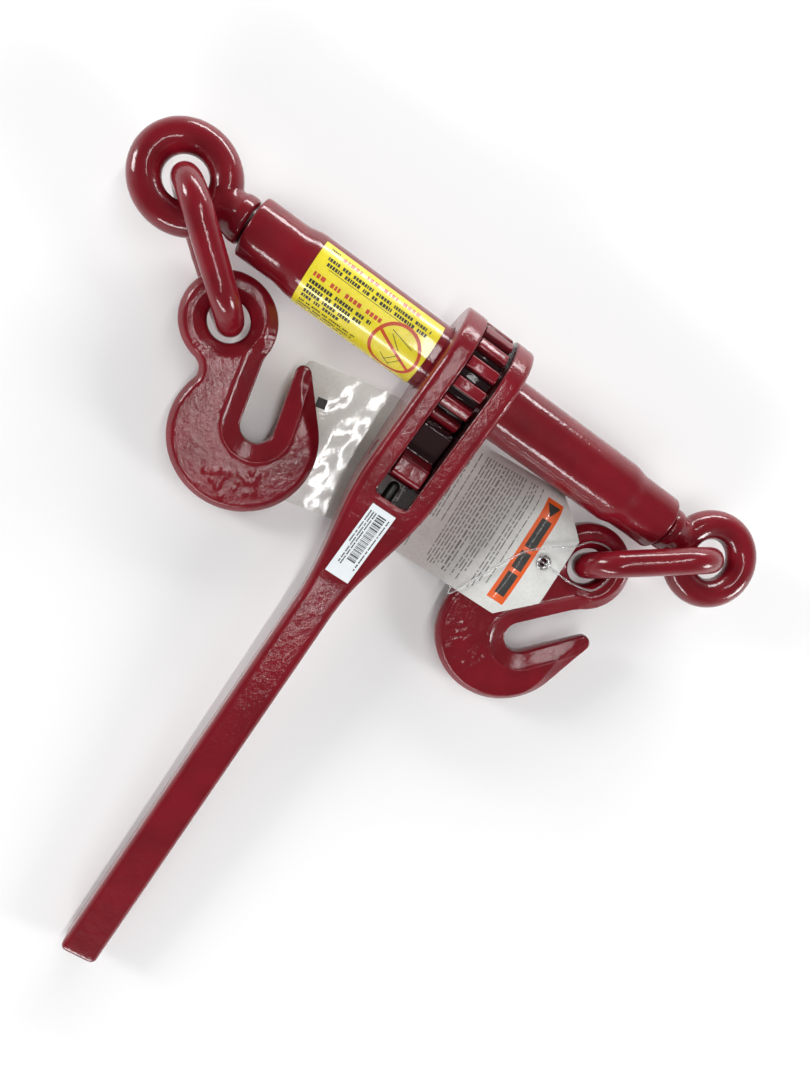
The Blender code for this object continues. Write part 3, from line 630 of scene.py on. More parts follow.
def make_handle():
    stations = [-BOSS_R * math.cos(math.radians(4 + 86 * i / 24)) for i in range(25)]
    stations += [y * MM for y in range(4, 160, 4)]
    stations += [y * MM for y in range(160, 362, 10)]
    loops = [handle_section(y, fork_half_width(y), handle_half_height(y), EDGE_R) for y in stations]
    for back, shrink in ((2.4, 0.1), (1.2, 0.5), (0.4, 1.1), (0, 1.9)):
        width, height = BAR_HALF_WIDTH - shrink * MM, BAR_HALF_HEIGHT - shrink * MM
        loops.append(handle_section(HANDLE_LENGTH - back * MM, width, height, 2.6 * MM))
    handle = finish_mesh("handle_forging", loft(loops), Matrix.Identity(4), [FORGED])

    corner = 3.5 * MM
    low_x, high_x = HANDLE_X - WINDOW_HALF_WIDTH, HANDLE_X + WINDOW_HALF_WIDTH
    window = [(low_x, 40 * MM)]
    window += arc((low_x + corner, -WINDOW_END + corner), corner, math.pi, 1.5 * math.pi, 8)
    window += arc((high_x - corner, -WINDOW_END + corner), corner, 1.5 * math.pi, math.tau, 8)
    window.append((high_x, 40 * MM))
    cuts = [prism(window, -40 * MM, 40 * MM, "Z")]
    cuts.append(prism(ring_points(BARREL_R + 0.35 * MM, 96), -40 * MM, 40 * MM))
    pin_hole = [p + Vector((PAWL_Y, 0)) for p in ring_points(PAWL_PIN_R + 0.2 * MM, 32)]
    cuts.append(prism(pin_hole, -40 * MM, 40 * MM))
    bore = [p + Vector((HANDLE_X, 0)) for p in ring_points(3.5 * MM, 24)]
    cuts.append(prism(bore, -101 * MM, -WINDOW_END + 4 * MM, "Y"))
    for i, cut in enumerate(cuts):
        boolean(handle, finish_mesh(f"cut_{i}", cut, Matrix.Identity(4), []))
    soften(handle, 0.9 * MM, 3)
    handle.data.transform(HANDLE_PLACE)
    handle.data.materials.clear()
    handle.data.materials.append(FORK_PAINT)
    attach(handle, "handle")
    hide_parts("handle")


PAWL_CLAW_ANGLE = math.radians(32)
# The corners of a claw's end, along and across the claw in mm.
PAWL_CLAW_CORNERS = ((31.0, -0.4), (29.8, 2.6))


def pawl_outline():
    """Outline of the pawl across its pin: two claws, two thumb tabs and a round back."""
    along = Vector((math.cos(PAWL_CLAW_ANGLE), math.sin(PAWL_CLAW_ANGLE)))
    across = Vector((-along.y, along.x))
    upper = [along * 12.5 * MM - across * 2.2 * MM]
    for reach, edge in PAWL_CLAW_CORNERS:
        upper.append((along * reach + across * edge) * MM)
    upper.append((along * 14 + across * 5.5) * MM)
    upper += arc((2.6 * MM, PAWL_TAB_TOP - 3.4 * MM), 3.4 * MM, 0, math.pi / 2, 8)
    upper += arc((-2.6 * MM, PAWL_TAB_TOP - 3.4 * MM), 3.4 * MM, math.pi / 2, math.pi, 8)
    back = arc((0, 0), PAWL_R, math.radians(142), math.radians(218), 14)
    lower = [Vector((p.x, -p.y)) for p in reversed(upper)]
    return upper + back + lower


def make_pawl():
    low_x, high_x = HANDLE_X - PAWL_WIDTH / 2, HANDLE_X + PAWL_WIDTH / 2
    pawl = finish_mesh("pawl_forging", prism(pawl_outline(), low_x, high_x), Matrix.Identity(4), [FORGED])
    hole = prism(ring_points(PAWL_PIN_R + 0.2 * MM, 32), low_x - MM, high_x + MM)
    boolean(pawl, finish_mesh("cut_pawl", hole, Matrix.Identity(4), []))
    bevelled(pawl, 0.9 * MM, 4, 35)
    soften(pawl, 0.45 * MM, 3)
    pawl.data.transform(PAWL_PLACE)
    pawl.data.materials.clear()
    pawl.data.materials.append(PAWL_PAINT)
    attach(pawl, "pawl")
    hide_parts("pawl")

    half = BOSS_HALF_WIDTH - 0.2 * MM
    profile = [(-half, 0), (-half, PAWL_PIN_R - 0.9 * MM), (-half + 0.3 * MM, PAWL_PIN_R - 0.3 * MM)]
    profile.append((-half + 0.9 * MM, PAWL_PIN_R))
    profile += [(-x, r) for x, r in reversed(profile)]
    pin_shape = turned([(HANDLE_X + x, r) for x, r in profile], 48)
    pin = finish_mesh("pin", pin_shape, PAWL_PLACE, [DARK_STEEL], 40)
    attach(pin, "handle")
    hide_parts("pawl_pin")


def make_spring():
    """The pawl's spring, which the plunger presses along the handle towards the end of its bore."""
    wire = 0.45 * MM
    coil_r = 3.2 * MM - wire - 0.2 * MM
    _, spring_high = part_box("pawl_spring")
    start = -((spring_high.y - ORIGIN.y) + coil_r * math.sin(HANDLE_DROP)) / math.cos(HANDLE_DROP) + wire
    end = 101 * MM - 0.4 * MM - wire
    turns = 6
    steps = turns * 20
    loops = []
    for i in range(steps + 1):
        angle = math.tau * turns * i / steps
        out = Vector((math.cos(angle), 0, math.sin(angle)))
        centre = Vector((HANDLE_X, -(start + (end - start) * i / steps), 0)) + out * coil_r
        along = Vector((0, -1, 0))
        loops.append([centre + out * p.x + along * p.y for p in ring_points(wire, 10)])
    spring = finish_mesh("spring_coil", loft(loops), HANDLE_PLACE, [DARK_STEEL])
    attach(spring, "handle")
    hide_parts("pawl_spring")
    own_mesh(spring)


def make_sticker():
    """A white film with plain bars across it, as on a price sticker."""
    rng = random.Random(11)
    lift = 0.3 * MM
    thickness = 0.25 * MM
    half = 6.9 * MM
    ends = (-77 * MM, -119 * MM)

    def surface(y, extra):
        return handle_half_height(-y) + lift + extra

    def patch(x_low, x_high, y_low, y_high, low_lift, high_lift):
        loops = []
        for i in range(5):
            y = y_low + (y_high - y_low) * i / 4
            bottom, top = surface(y, low_lift), surface(y, high_lift)
            corners = ((x_low, bottom), (x_high, bottom), (x_high, top), (x_low, top))
            loops.append([(HANDLE_X + x, y, z) for x, z in corners])
        return loft(loops)

    film = finish_mesh("sticker_film", patch(-half, half, *ends, 0, thickness), HANDLE_PLACE, [WHITE], 40)
    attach(film, "handle")
    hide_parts("barcode_sticker")
    parts = []
    y = -80.5 * MM
    while y > -108 * MM:
        width = rng.choice((0.25, 0.25, 0.5, 0.75)) * MM
        parts.append(patch(-1.2 * MM, 3.6 * MM, y, y - width, thickness, thickness + INK_LIFT))
        y -= width + rng.choice((0.25, 0.4, 0.6)) * MM
    for x in (-5.4, -3.9, -2.5, 5.2):
        for a, b in words(rng, 80.5 * MM, (100 if x < -5 else 112) * MM, 0.8 * MM, 0.5 * MM):
            parts.append(patch((x - 0.35) * MM, (x + 0.35) * MM, -a, -b, thickness, thickness + INK_LIFT))
    ink = join_all("sticker_bars", parts, HANDLE_PLACE, [INK_BLACK])
    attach(ink, "handle")


# ---------------------------------------------------------------- eye screws and links


SCREW_R = 10.8 * MM
PITCH = 6.35 * MM
THREAD_DEPTH = 1.5 * MM
SHOULDER = BARREL_LENGTH / 2 + 1.5 * MM
RING_X = 166.5 * MM
RING_R = 19.1 * MM
RING_WIRE_R = 8.2 * MM
LINK_WIRE_R = 7.3 * MM
LINK_BOW_R = 17.8 * MM
LINK_STRAIGHT = 31.6 * MM


def make_thread(side):
    """The threaded shank: a rolled thread, left-handed on one side and right-handed on the other."""
    around = 48
    start, end = 7.2 * MM, SHOULDER + 0.6 * MM
    steps = int((end - start) / (0.5 * MM))
    loops = []
    for i in range(steps + 1):
        x = start + (end - start) * i / steps
        fade = min(1, (x - start) / (2 * MM))
        loop = []
        for k in range(around):
            angle = math.tau * k / around
            phase = (x / PITCH - k / around) % 1
            wave = 0.5 + 0.5 * math.cos(math.tau * phase)
            crest = min(1, max(0, (wave - 0.18) / 0.64))
            radius = SCREW_R - THREAD_DEPTH * (1 - crest) - 1.2 * MM * (1 - fade)
            loop.append(Vector((side * x, radius * math.cos(angle), radius * math.sin(angle))))
        loops.append(loop)
    return finish_mesh(SIDES[side] + "_thread", loft(loops), PLACE, [DARK_STEEL], 60)


def make_eye_screw(side):
    name = SIDES[side]
    profile = [(2.2, 0), (2.2, 6.4), (2.8, 7.0), (8.0, 7.0), (8.0, 0)]
    spigot_shape = turned([(side * x * MM, r * MM) for x, r in profile], 48)
    spigot = finish_mesh(name + "_spigot", spigot_shape, PLACE, [STEEL], 40)
    sections = [(0, 10.7, 10.7), (0.5, 11.7, 11.7), (1.5, 12.3, 12.3), (5.5, 12.2, 12.2), (8.0, 11.2, 11.0)]
    sections += [(10.5, 10.9, 9.9), (12.5, 11.8, 9.2), (14.5, 13.6, 8.6), (17.5, 16.2, 7.2)]
    loops = []
    for from_shoulder, wide, tall in sections:
        x = side * (SHOULDER + from_shoulder * MM)
        loops.append([Vector((x, p.x * wide, p.y * tall)) for p in ring_points(MM, 48)])
    head = finish_mesh(name + "_eye", loft(loops), Matrix.Identity(4), [PAINT])
    loops = []
    around = 96
    for i in range(around):
        turn = Matrix.Rotation(math.tau * i / around, 3, "Z")
        section = [turn @ Vector((RING_R + p.x, 0, p.y)) for p in ring_points(RING_WIRE_R, 32)]
        loops.append([p + Vector((side * RING_X, 0, 0)) for p in section])
    ring = finish_mesh("ring", loft(loops, closed=True), Matrix.Identity(4), [])
    boolean(head, ring, "UNION")
    soften(head, 0.6 * MM, 9)
    head.data.transform(PLACE)
    head.data.materials.clear()
    head.data.materials.append(PAINT)
    thread = make_thread(side)
    for piece, slot in ((head, "red_paint"), (thread, "red_paint"), (spigot, "red_paint")):
        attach(piece, name + "_screw")
    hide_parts(name + "_eye_screw")


SIDES = {-1: "left", 1: "right"}
HOOK_EYE_R = 24.3 * MM
HOOK_HOLE_R = 10.5 * MM
HOOK_SLOPE = math.radians(9.1)
HOOKS = {
    -1: (Vector((-115.6, -43.0, -8.5)) * MM, math.radians(-51.5), math.radians(-4)),
    1: (Vector((111.6, -41.4, -8.5)) * MM, math.radians(-106.5), math.radians(9)),
}


def hook_turn(way):
    return Matrix.Rotation(way, 3, "Z") @ Matrix.Rotation(HOOK_SLOPE, 3, "Y")


def link_frame(ring, eye, way, roll):
    """The middle of a link and its axes: along it, across it in its own plane, and out of that plane."""
    between = (eye - ring).normalized()
    level = Vector((between.x, between.y, 0)).normalized()
    hook_up = hook_turn(way) @ UP
    in_hook = (between - hook_up * between.dot(hook_up)).normalized()
    ring_bow = ring + level * RING_R
    eye_bow = eye - in_hook * (HOOK_EYE_R + HOOK_HOLE_R) / 2
    along = (eye_bow - ring_bow).normalized()
    flat = along.cross(UP).normalized()
    across = Matrix.Rotation(roll, 3, along) @ flat.cross(along).normalized()
    return (ring_bow + eye_bow) / 2, along, across, along.cross(across)


def make_link(side):
    """A welded link of round wire, with a slight upset at the weld on its lower strand."""
    name = SIDES[side]
    eye, way, roll = HOOKS[side]
    middle, along, across, out = link_frame(Vector((side * RING_X, 0, 0)), eye, way, roll)
    half = LINK_STRAIGHT / 2
    route = arc((half, 0), LINK_BOW_R, -math.pi / 2, math.pi / 2, 32)
    top = [Vector((half - LINK_STRAIGHT * i / 12, LINK_BOW_R)) for i in range(1, 12)]
    route += top + [Vector((-p.x, -p.y)) for p in route]
    route += [Vector((-p.x, -p.y)) for p in top]
    loops = []
    count = len(route)
    for i, point in enumerate(route):
        before, after = route[i - 1], route[(i + 1) % count]
        tangent = ((point - before).normalized() + (after - point).normalized()).normalized()
        normal = Vector((tangent.y, -tangent.x))
        weld = math.exp(-((point.x / (2.2 * MM)) ** 2)) if point.y < 0 else 0
        radius = LINK_WIRE_R + 0.25 * MM * weld
        loop = []
        for p in ring_points(radius, 32):
            q = point + normal * p.x
            loop.append(middle + along * q.x + across * q.y + out * p.y)
        loops.append(loop)
    link = finish_mesh(name + "_chain_link", loft(loops, closed=True), PLACE, [PAINT])
    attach(link, name + "_link")
    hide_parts(name + "_link")


# ---------------------------------------------------------------- hooks


HOOK_HALF_THICKNESS = 7.5 * MM
HOOK_BELLY = Vector((58.0 * MM, 1.5 * MM))
HOOK_BELLY_R = 38.5 * MM
HOOK_SLOT = Vector((52.4 * MM, 9.0 * MM))
HOOK_SLOT_R = 8.8 * MM
HOOK_SLOT_ANGLE = math.radians(-26)
HOOK_TIP = Vector((27.5 * MM, 34.5 * MM))
HOOK_TIP_R = 4.2 * MM
HOOK_NOTCH_R = 7.0 * MM
HOOK_BLEND_R = 22.0 * MM
RIDGE = 9.0 * MM


def fillet(centre_a, radius_a, centre_b, radius_b, side):
    between = centre_b - centre_a
    d = between.length
    along = (d * d + radius_a**2 - radius_b**2) / (2 * d)
    off = math.sqrt(radius_a**2 - along**2)
    unit = between / d
    return centre_a + unit * along + Vector((-unit.y, unit.x)) * side * off


def hook_outline():
    """Closed outline of the hook, counter-clockwise, as (point, True where it is in the throat)."""
    eye = Vector((0, 0))
    slot_way = Vector((math.cos(HOOK_SLOT_ANGLE), math.sin(HOOK_SLOT_ANGLE)))
    slot_left = Vector((-slot_way.y, slot_way.x))
    shank_level = HOOK_SLOT.dot(slot_left) - HOOK_SLOT_R
    blend_level = shank_level + HOOK_BLEND_R
    blend = slot_left * blend_level + slot_way * math.sqrt((HOOK_EYE_R + HOOK_BLEND_R) ** 2 - blend_level**2)
    notch = fillet(eye, HOOK_EYE_R + HOOK_NOTCH_R, HOOK_BELLY, HOOK_BELLY_R + HOOK_NOTCH_R, -1)
    between = HOOK_BELLY - HOOK_TIP
    tip_turn = heading(between) + math.acos((HOOK_TIP_R - HOOK_BELLY_R) / between.length)
    inner_turn = heading(-slot_left)
    points = []

    def add(new_points, throat):
        for p in new_points:
            if not points or (points[-1][0] - p).length > 0.05 * MM:
                points.append((p, throat))

    def straight(start, end, throat):
        steps = max(int((end - start).length / (1.2 * MM)), 1)
        add([start.lerp(end, i / steps) for i in range(1, steps)], throat)

    add(arc(eye, HOOK_EYE_R, heading(blend - eye), heading(notch - eye) + math.tau, 90), False)
    add(arc(notch, HOOK_NOTCH_R, heading(eye - notch), heading(HOOK_BELLY - notch), 10)[1:], False)
    add(arc(HOOK_BELLY, HOOK_BELLY_R, heading(notch - HOOK_BELLY), tip_turn, 110)[1:], False)
    tip = arc(HOOK_TIP, HOOK_TIP_R, tip_turn, inner_turn + math.tau, 14)
    straight(points[-1][0], tip[0], False)
    add(tip, False)
    bottom = arc(HOOK_SLOT, HOOK_SLOT_R, heading(slot_left), heading(-slot_left), 26)
    straight(points[-1][0], bottom[0], True)
    add(bottom, True)
    foot = slot_left * shank_level + slot_way * blend.dot(slot_way)
    straight(points[-1][0], foot, True)
    add(arc(blend, HOOK_BLEND_R, heading(foot - blend), heading(eye - blend), 16)[:-1], True)
    return points


def distances(points, run):
    """Shortest distance from each of the points to a run of points joined by straight lines."""
    points = np.array([tuple(p) for p in points])
    run = np.array([tuple(p) for p in run])
    best = np.full(len(points), 1.0)
    for start, end in zip(run, run[1:]):
        line = end - start
        share = np.clip((points - start) @ line / (line @ line), 0, 1)
        best = np.minimum(best, np.linalg.norm(points - start - share[:, None] * line, axis=1))
    return best


def rounded(d, radius, floor):
    """Height, from floor at the edge to 1 at a distance of radius and beyond, as a quarter of an ellipse."""
    t = np.clip(1 - d / radius, 0, 1)
    return floor + (1 - floor) * np.sqrt(1 - t * t)


def hook_heights(points, throat, outer):
    """Half thickness of the hook at each point: bevelled from a ridge down to the throat, rounded outside."""
    from_throat = distances(points, throat)
    from_outer = distances(points, outer)
    from_eye = np.array([p.length for p in points])
    near_tip = np.array([(p - HOOK_TIP).length for p in points])
    slope = 0.60 + 0.40 * np.minimum(from_throat / RIDGE, 1)
    throat_side = np.minimum(rounded(from_throat, 2.6 * MM, 0.28), slope)
    bevel = np.maximum(1 - near_tip / (42 * MM), 0)
    outer_slope = 0.50 + 0.50 * np.minimum(from_outer / (3.4 * MM + 7 * MM * bevel), 1)
    outer_side = np.minimum(rounded(from_outer, 3.0 * MM, 0.25), outer_slope)
    hole_slope = 0.62 + 0.38 * np.minimum((from_eye - HOOK_HOLE_R) / (6.0 * MM), 1)
    hole = np.minimum(rounded(from_eye - HOOK_HOLE_R, 4.0 * MM, 0.22), hole_slope)
    bead = 0.042 * np.exp(-(((from_throat - RIDGE) / (0.5 * MM)) ** 2))
    thin = 0.72 + 0.28 * np.minimum(near_tip / (30 * MM), 1)
    rng = random.Random(29)
    for _ in range(34):
        mark = Vector((rng.uniform(70, 86), rng.uniform(-24, 8))) * MM
        size = rng.uniform(0.8, 1.5) * MM
        apart = np.array([(p - mark).length for p in points])
        bead = bead + 0.035 * np.exp(-((apart / size) ** 2))
    cheek = np.minimum(np.minimum(throat_side, outer_side), hole) * thin
    return (cheek + bead * (hole > 0.97)) * HOOK_HALF_THICKNESS


def offset_inwards(points, inset, closed):
    """Points moved to the left of their run by the inset."""
    moved = []
    count = len(points)
    for i, p in enumerate(points):
        before = points[i - 1] if closed or i else p
        after = points[(i + 1) % count] if closed or i < count - 1 else p
        way = (after - before).normalized()
        moved.append(p + Vector((-way.y, way.x)) * inset)
    return moved


def make_hook(side):
    """A forged hook from a field of heights over its outline, the same above and below."""
    name = SIDES[side]
    eye, way, _ = HOOKS[side]
    outline = hook_outline()
    points = [p for p, _ in outline]
    count = len(points)
    throat = [p for p, inside in outline if inside]
    outer = [p for p, inside in outline if not inside]
    closed_outline = points + points[:1]
    hole_count = 72
    hole = ring_points(HOOK_HOLE_R, hole_count)
    verts = points + hole
    edges = [(i, (i + 1) % count) for i in range(count)]
    edges += [(count + i, count + (i + 1) % hole_count) for i in range(hole_count)]
    for inset in (0.35, 0.9, 1.8):
        verts += offset_inwards(points, inset * MM, True)
        verts += ring_points(HOOK_HOLE_R + inset * MM, hole_count)
    rows = []
    for inset in [RIDGE + step * MM for step in (-0.9, -0.45, 0, 0.45, 0.9)]:
        row = offset_inwards(throat, inset, False)
        good = (distances(row, throat) > inset - 0.06 * MM) & (distances(row, closed_outline) > 2.4 * MM)
        rows += [p for p, keep in zip(row, good) if keep and p.length > HOOK_HOLE_R + 3 * MM]
    step = 1.05 * MM
    field = [Vector((i * step, (j + (i % 2) / 2) * step)) for i in range(-26, 96) for j in range(-40, 46)]
    clear = (distances(field, closed_outline) > 2.3 * MM) & (distances(field, rows) > 0.6 * MM)
    field = [p for p, keep in zip(field, clear) if keep and p.length > HOOK_HOLE_R + 2.4 * MM]
    verts += rows + field
    flat, _, triangles, *_ = delaunay_2d_cdt(verts, edges, [], 2, 1e-7)
    flat = [Vector(p) for p in flat]
    heights = hook_heights(flat, throat, outer)
    bm = bmesh.new()
    top = [bm.verts.new((p.x, p.y, z)) for p, z in zip(flat, heights)]
    bottom = [bm.verts.new((p.x, p.y, -z)) for p, z in zip(flat, heights)]
    sides = set()
    for triangle in triangles:
        centre = (flat[triangle[0]] + flat[triangle[1]] + flat[triangle[2]]) / 3
        if centre.length < HOOK_HOLE_R * 0.999:
            continue
        bm.faces.new([top[i] for i in triangle])
        bm.faces.new([bottom[i] for i in reversed(triangle)])
        sides.update(zip(triangle, (*triangle[1:], triangle[0])))
    for a, b in sorted(sides):
        if (b, a) not in sides:
            bm.faces.new((top[b], top[a], bottom[a], bottom[b]))
    bmesh.ops.delete(bm, geom=[v for v in bm.verts if not v.link_faces], context="VERTS")
    place = PLACE @ Matrix.Translation(eye) @ hook_turn(way).to_4x4()
    hook = finish_mesh(name + "_hook_forging", bm, place, [FORGED])
    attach(hook, name + "_hook")
    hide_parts(name + "_hook")


# ---------------------------------------------------------------- tag


TAG_EYELET = Vector((86.5, -53.6, 0)) * MM
TAG_PLACE = PLACE @ Matrix.Translation(TAG_EYELET) @ Matrix.Rotation(math.radians(181), 4, "Z")
TAG_TURN = math.radians(12)
TAG_END_Z = 1.1 * MM
TAG_DROP = (18 * MM, 86 * MM)
TAG_CREST = -4.6 * MM
TAG_FLAT = 14 * MM
TAG_SAG = (17.0 * MM, 3.0 * MM)
TAG_LENGTH = 165 * MM
TAG_HALF_WIDTH = 37.5 * MM
TAG_CORNER = 18 * MM
TAG_THICKNESS = 0.45 * MM
EYELET_INSET = 11 * MM
TAG_STEPS = 150


def tag_height(u, v):
    """Height of the card: it sinks from the hook to the ground, and its end hangs down on both sides."""
    ground = -BOSS_R + 0.1 * MM
    sink = eased((u - TAG_DROP[0]) / (TAG_DROP[1] - TAG_DROP[0]))
    offset = v - TAG_CREST
    past_flat = max(abs(offset) - TAG_FLAT, 0) / (TAG_HALF_WIDTH - TAG_FLAT)
    sag = TAG_SAG[0 if offset < 0 else 1] * past_flat**2
    return TAG_END_Z + (ground - TAG_END_Z) * sink - sag * (1 - eased(u / TAG_DROP[1]))


def tag_spine():
    """Points along the middle of the card, with its turn there."""
    spine = []
    centre = Vector((-EYELET_INSET, 0))
    step = TAG_LENGTH / TAG_STEPS
    for i in range(TAG_STEPS + 1):
        turn = TAG_TURN * eased((i * step - TAG_LENGTH * 0.3) / (TAG_LENGTH * 0.6))
        spine.append((centre.copy(), turn))
        centre += Vector((math.cos(turn), math.sin(turn))) * step
    return spine


SPINE = tag_spine()


def tag_point(u, v, lift):
    """A point on the card, u along it from the eyelet's end and v across it."""
    at = min(max(u / TAG_LENGTH * TAG_STEPS, 0), TAG_STEPS)
    i = min(int(at), TAG_STEPS - 1)
    share = at - i
    centre = SPINE[i][0].lerp(SPINE[i + 1][0], share)
    turn = SPINE[i][1] * (1 - share) + SPINE[i + 1][1] * share
    across = Vector((-math.sin(turn), math.cos(turn)))
    return (centre + across * v).to_3d() + UP * (tag_height(u, v) + lift)


def tag_patch(u_low, u_high, v_low, v_high, low_lift, high_lift, steps=4):
    """A thin strip that lies on the card."""
    loops = []
    wide = max(math.ceil(abs(v_high - v_low) / (1.2 * MM)), 1)
    for i in range(steps + 1):
        u = u_low + (u_high - u_low) * i / steps
        vs = [v_low + (v_high - v_low) * k / wide for k in range(wide + 1)]
        under = [tag_point(u, v, low_lift) for v in vs]
        over = [tag_point(u, v, high_lift) for v in reversed(vs)]
        loops.append(under + over)
    return loft(loops)


def make_tag():
    rng = random.Random(3)
    us = [TAG_LENGTH * i / 110 for i in range(111)]
    loops = []
    strips = 90
    for u in us:
        corner = max(TAG_CORNER - u, 0)
        half = TAG_HALF_WIDTH - corner
        far = TAG_LENGTH - u
        if far < 4 * MM:
            half -= 4 * MM - math.sqrt((4 * MM) ** 2 - (4 * MM - far) ** 2)
        vs = [half * (2 * k / strips - 1) for k in range(strips + 1)]
        under_side = [tag_point(u, v, 0) for v in vs]
        upper_side = [tag_point(u, v, TAG_THICKNESS) for v in reversed(vs)]
        loops.append(under_side + upper_side)
    card = finish_mesh("tag_sheet", loft(loops), Matrix.Identity(4), [CARD], 40)
    neck = prism(ring_points(2.9 * MM, 32), -12 * MM, 12 * MM, "Z")
    boolean(card, finish_mesh("cut_tag", neck, Matrix.Identity(4), []))
    card.data.transform(TAG_PLACE)
    card.data.shade_smooth()
    card.data.set_sharp_from_angle(angle=math.radians(40))
    card.data.materials.clear()
    card.data.materials.append(CARD)
    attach(card, "tag")
    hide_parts("hang_tag")

    top = TAG_THICKNESS
    ink = TAG_THICKNESS + INK_LIFT
    parts = []
    u = 30.0
    while u < 92:
        small = u < 42 or rng.random() < 0.75
        tall = 0.55 if small else 0.9
        length = rng.choice((66, 60, 64, 52, 66, 44))
        for a, b in words(rng, -33 * MM, (-33 + length) * MM, 0.6 * MM, 0.75 * MM):
            parts.append(tag_patch(u * MM, (u + tall) * MM, a, b, top, ink, 1))
        u += tall + rng.choice((1.0, 1.0, 1.1, 1.1, 2.8))
    text = join_all("tag_text", parts, TAG_PLACE, [INK_GREY])
    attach(text, "tag")

    band_shape = tag_patch(16.5 * MM, 26.5 * MM, -31 * MM, 31 * MM, top, ink, 10)
    band = join_all("tag_band", [band_shape], TAG_PLACE, [INK_ORANGE])
    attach(band, "tag")
    parts = []
    lifted = ink + INK_LIFT
    rows = 10
    for i in range(rows):
        share = i / rows
        half = 3.6 * MM * (1 - share)
        v = -28.5 * MM + 6.5 * MM * share
        parts.append(tag_patch(21.5 * MM - half, 21.5 * MM + half, v, v + 6.5 * MM / rows, ink, lifted, 6))
    for v_low, v_high in ((-19.5, -2.0), (0.5, 11.0), (13.5, 27.0)):
        parts.append(tag_patch(18.6 * MM, 24.4 * MM, v_low * MM, v_high * MM, ink, lifted, 6))
    marks = join_all("tag_marks", parts, TAG_PLACE, [INK_BLACK])
    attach(marks, "tag")
    parts = [tag_patch(147 * MM, 152.5 * MM, -21 * MM, -15.5 * MM, top, ink, 2)]
    mark = join_all("tag_square", parts, TAG_PLACE, [INK_BLACK])
    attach(mark, "tag")

    bottom = tag_height(EYELET_INSET, 0) - 0.25 * MM
    top_z = bottom + TAG_THICKNESS + 0.5 * MM
    lip = 0.5 * MM
    profile = [(bottom, 2.1 * MM), (bottom - lip, 2.6 * MM), (bottom - lip * 1.2, 3.4 * MM)]
    profile += [(bottom - lip * 0.6, 4.1 * MM), (bottom, 3.9 * MM), (bottom, 2.6 * MM)]
    profile += [(top_z, 2.6 * MM), (top_z, 3.9 * MM), (top_z + lip * 0.6, 4.2 * MM)]
    profile += [(top_z + lip * 1.3, 3.5 * MM), (top_z + lip, 2.6 * MM), (top_z, 2.1 * MM)]
    turn = Matrix.Rotation(-math.pi / 2, 4, "Y")
    eyelet = finish_mesh("eyelet_ring", turned(profile, 48), TAG_PLACE @ turn, [STEEL])
    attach(eyelet, "tag")
    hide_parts("tag_eyelet")


# The loop's route, in mm: first about the centre of the barrel, then about the right hook's eye as
# radius, degrees and height.
LOOP_ON_CARD = [
    (95.5, -37.5, 3.3),
    (84.3, -45.9, 3.0),
    (74.0, -55.0, 3.2),
    (64.0, -75.0, -0.5),
    (57.0, -93.0, -7.2),
    (55.5, -94.2, -11.9),
    (57.0, -82.0, -10.0),
    (70.0, -60.0, -2.6),
    (82.5, -54.4, -2.0),
    (86.4, -53.7, 1.2),
    (89.5, -54.0, 4.0),
    (96.5, -54.3, 3.2),
]
LOOP_ROUND_LINK = [(12.0, 0, 8.8), (11.8, 70, 8.9), (15.0, 146, 8.7), (15.4, 188, 8.7), (15.6, 230, 10.2)]


LOOP_STEPS = 10


def make_loop():
    """The clear cord, along a smooth curve through its route's points that ends where it starts."""
    route = [Vector(point) * MM for point in LOOP_ON_CARD]
    eye, way, _ = HOOKS[1]
    for radius, angle, height in LOOP_ROUND_LINK:
        turn = math.radians(angle)
        spoke = Vector((radius * math.cos(turn), radius * math.sin(turn), height))
        route.append(eye + hook_turn(way) @ (spoke * MM))
    points = []
    for i in range(len(route)):
        a, b, c, d = (route[(i + k - 1) % len(route)] for k in range(4))
        for step in range(LOOP_STEPS):
            t = step / LOOP_STEPS
            bend = (2 * a - 5 * b + 4 * c - d) * t * t + (3 * b - a - 3 * c + d) * t * t * t
            points.append(ORIGIN + 0.5 * (2 * b + (c - a) * t + bend))
    points.append(points[0])
    curve = bpy.data.curves.new("loop_wire", "CURVE")
    curve.dimensions = "3D"
    curve.bevel_depth = 0.55 * MM
    curve.bevel_resolution = 4
    spline = curve.splines.new("POLY")
    spline.points.add(len(points) - 1)
    for slot, point in zip(spline.points, points):
        slot.co = (*point, 1)
    curve.materials.append(CLEAR)
    wire = bpy.data.objects.new("loop_wire", curve)
    bpy.context.scene.collection.objects.link(wire)
    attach(wire, "right_hook")
    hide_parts("tag_loop")


# ---------------------------------------------------------------- small CAD nodes and the stage


def dress_nodes():
    """The small inner pieces keep their CAD shape and take a finished material."""
    for name, material in (
        ("pawl_plunger", DARK_STEEL),
        ("left_stop_washer", STEEL),
        ("right_stop_washer", STEEL),
        ("left_stop_clip", DARK_STEEL),
        ("right_stop_clip", DARK_STEEL),
    ):
        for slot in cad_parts[name].material_slots:
            slot.material = material


FLOOR_HALF_SIDE = 2.1


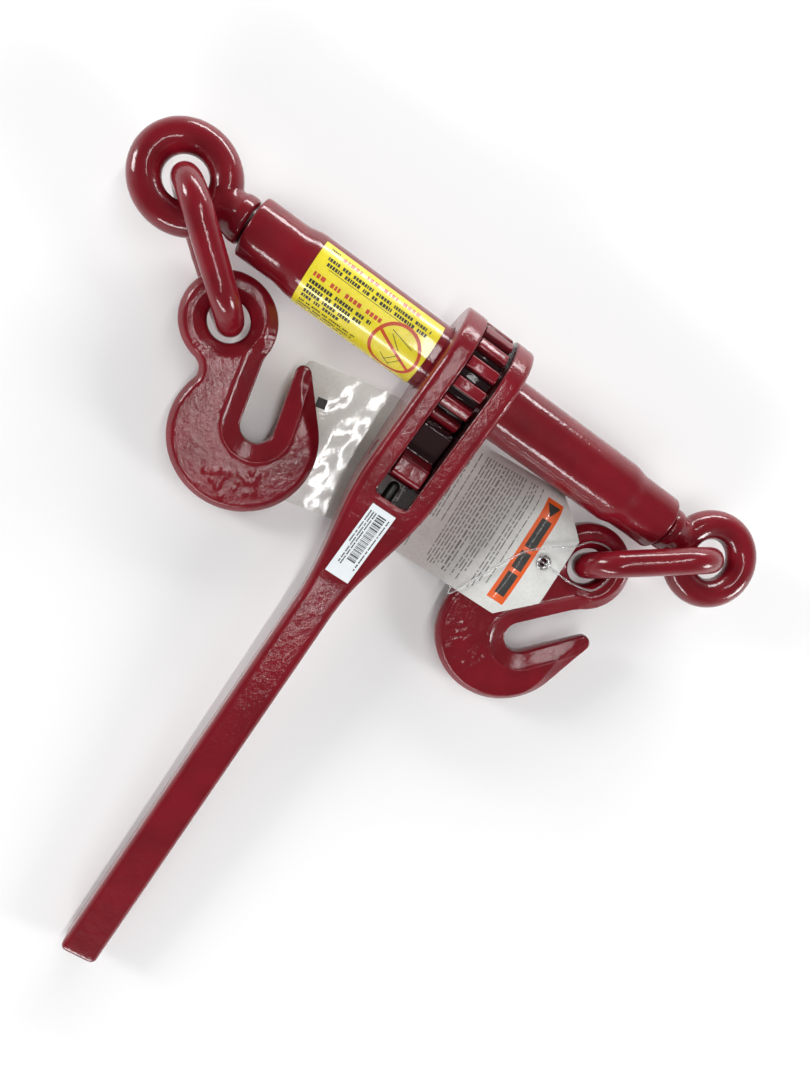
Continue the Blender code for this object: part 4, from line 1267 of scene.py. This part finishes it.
def make_stage():
    """The floor, the pale surroundings and the studio lights."""
    n = Nodes("floor_paper")
    n.set(Base_Color=n.mix(n.noise(3, 2), (0.93, 0.93, 0.93), (0.90, 0.90, 0.905)), Roughness=0.65)
    bm = bmesh.new()
    bmesh.ops.create_grid(bm, x_segments=8, y_segments=8, size=FLOOR_HALF_SIDE)
    floor = finish_mesh("floor", bm, Matrix.Translation((0, 0, -0.0004)), [n.material])

    world = bpy.data.worlds.new("studio")
    world.use_nodes = True
    # Pale walls and a dim ceiling, so that what faces up reflects little.
    tree = world.node_tree
    direction = tree.nodes.new("ShaderNodeTexCoord")
    parts = tree.nodes.new("ShaderNodeSeparateXYZ")
    walls = tree.nodes.new("ShaderNodeMapRange")
    tree.links.new(direction.outputs["Generated"], parts.inputs[0])
    tree.links.new(parts.outputs["Z"], walls.inputs[0])
    for socket, value in ((1, 0.12), (2, 0.55), (3, 0.72), (4, 0.10)):
        walls.inputs[socket].default_value = value
    tree.nodes["Background"].inputs[0].default_value = (1, 1, 1, 1)
    tree.links.new(walls.outputs[0], tree.nodes["Background"].inputs[1])
    bpy.context.scene.world = world
    bpy.context.scene.view_settings.view_transform = "Standard"

    def area(name, at, towards, size, power):
        light = bpy.data.lights.new(name, "AREA")
        light.shape = "RECTANGLE"
        light.size, light.size_y = size
        light.energy = power
        obj = bpy.data.objects.new(name, light)
        obj.location = at
        obj.rotation_mode = "QUATERNION"
        obj.rotation_quaternion = (Vector(towards) - Vector(at)).to_track_quat("-Z", "Y")
        bpy.context.scene.collection.objects.link(obj)

    area("window_far", (-0.3, 1.9, 0.55), (0, 0.1, 0), (1.8, 0.30), 30)
    area("tube_top", (0.1, 0.28, 1.25), (0.1, 0.28, 0), (0.04, 1.3), 5.5)
    area("panel_front", (0.2, -1.9, 0.9), (0, 0, 0), (1.5, 0.3), 22)
    area("side_left", (-1.9, 0.0, 0.8), (0, 0.1, 0), (0.5, 0.6), 18)
    area("side_right", (1.9, 0.2, 0.8), (0, 0.1, 0), (0.5, 0.6), 16)


def make_camera():
    """The camera at the photograph's viewing angle."""
    camera = bpy.data.cameras.new("camera")
    camera.lens = CAMERA_LENS
    camera.sensor_width = 36
    camera.clip_start = 0.01
    obj = bpy.data.objects.new("camera", camera)
    obj.location = ORIGIN + CAMERA_AT
    obj.rotation_euler = CAMERA_TURN
    bpy.context.scene.collection.objects.link(obj)
    bpy.context.scene.camera = obj


make_camera()
make_barrel()
make_gear()
make_label()
make_handle()
make_pawl()
make_spring()
make_sticker()
for end in (-1, 1):
    make_eye_screw(end)
    make_link(end)
    make_hook(end)
make_tag()
make_loop()
dress_nodes()
make_stage()
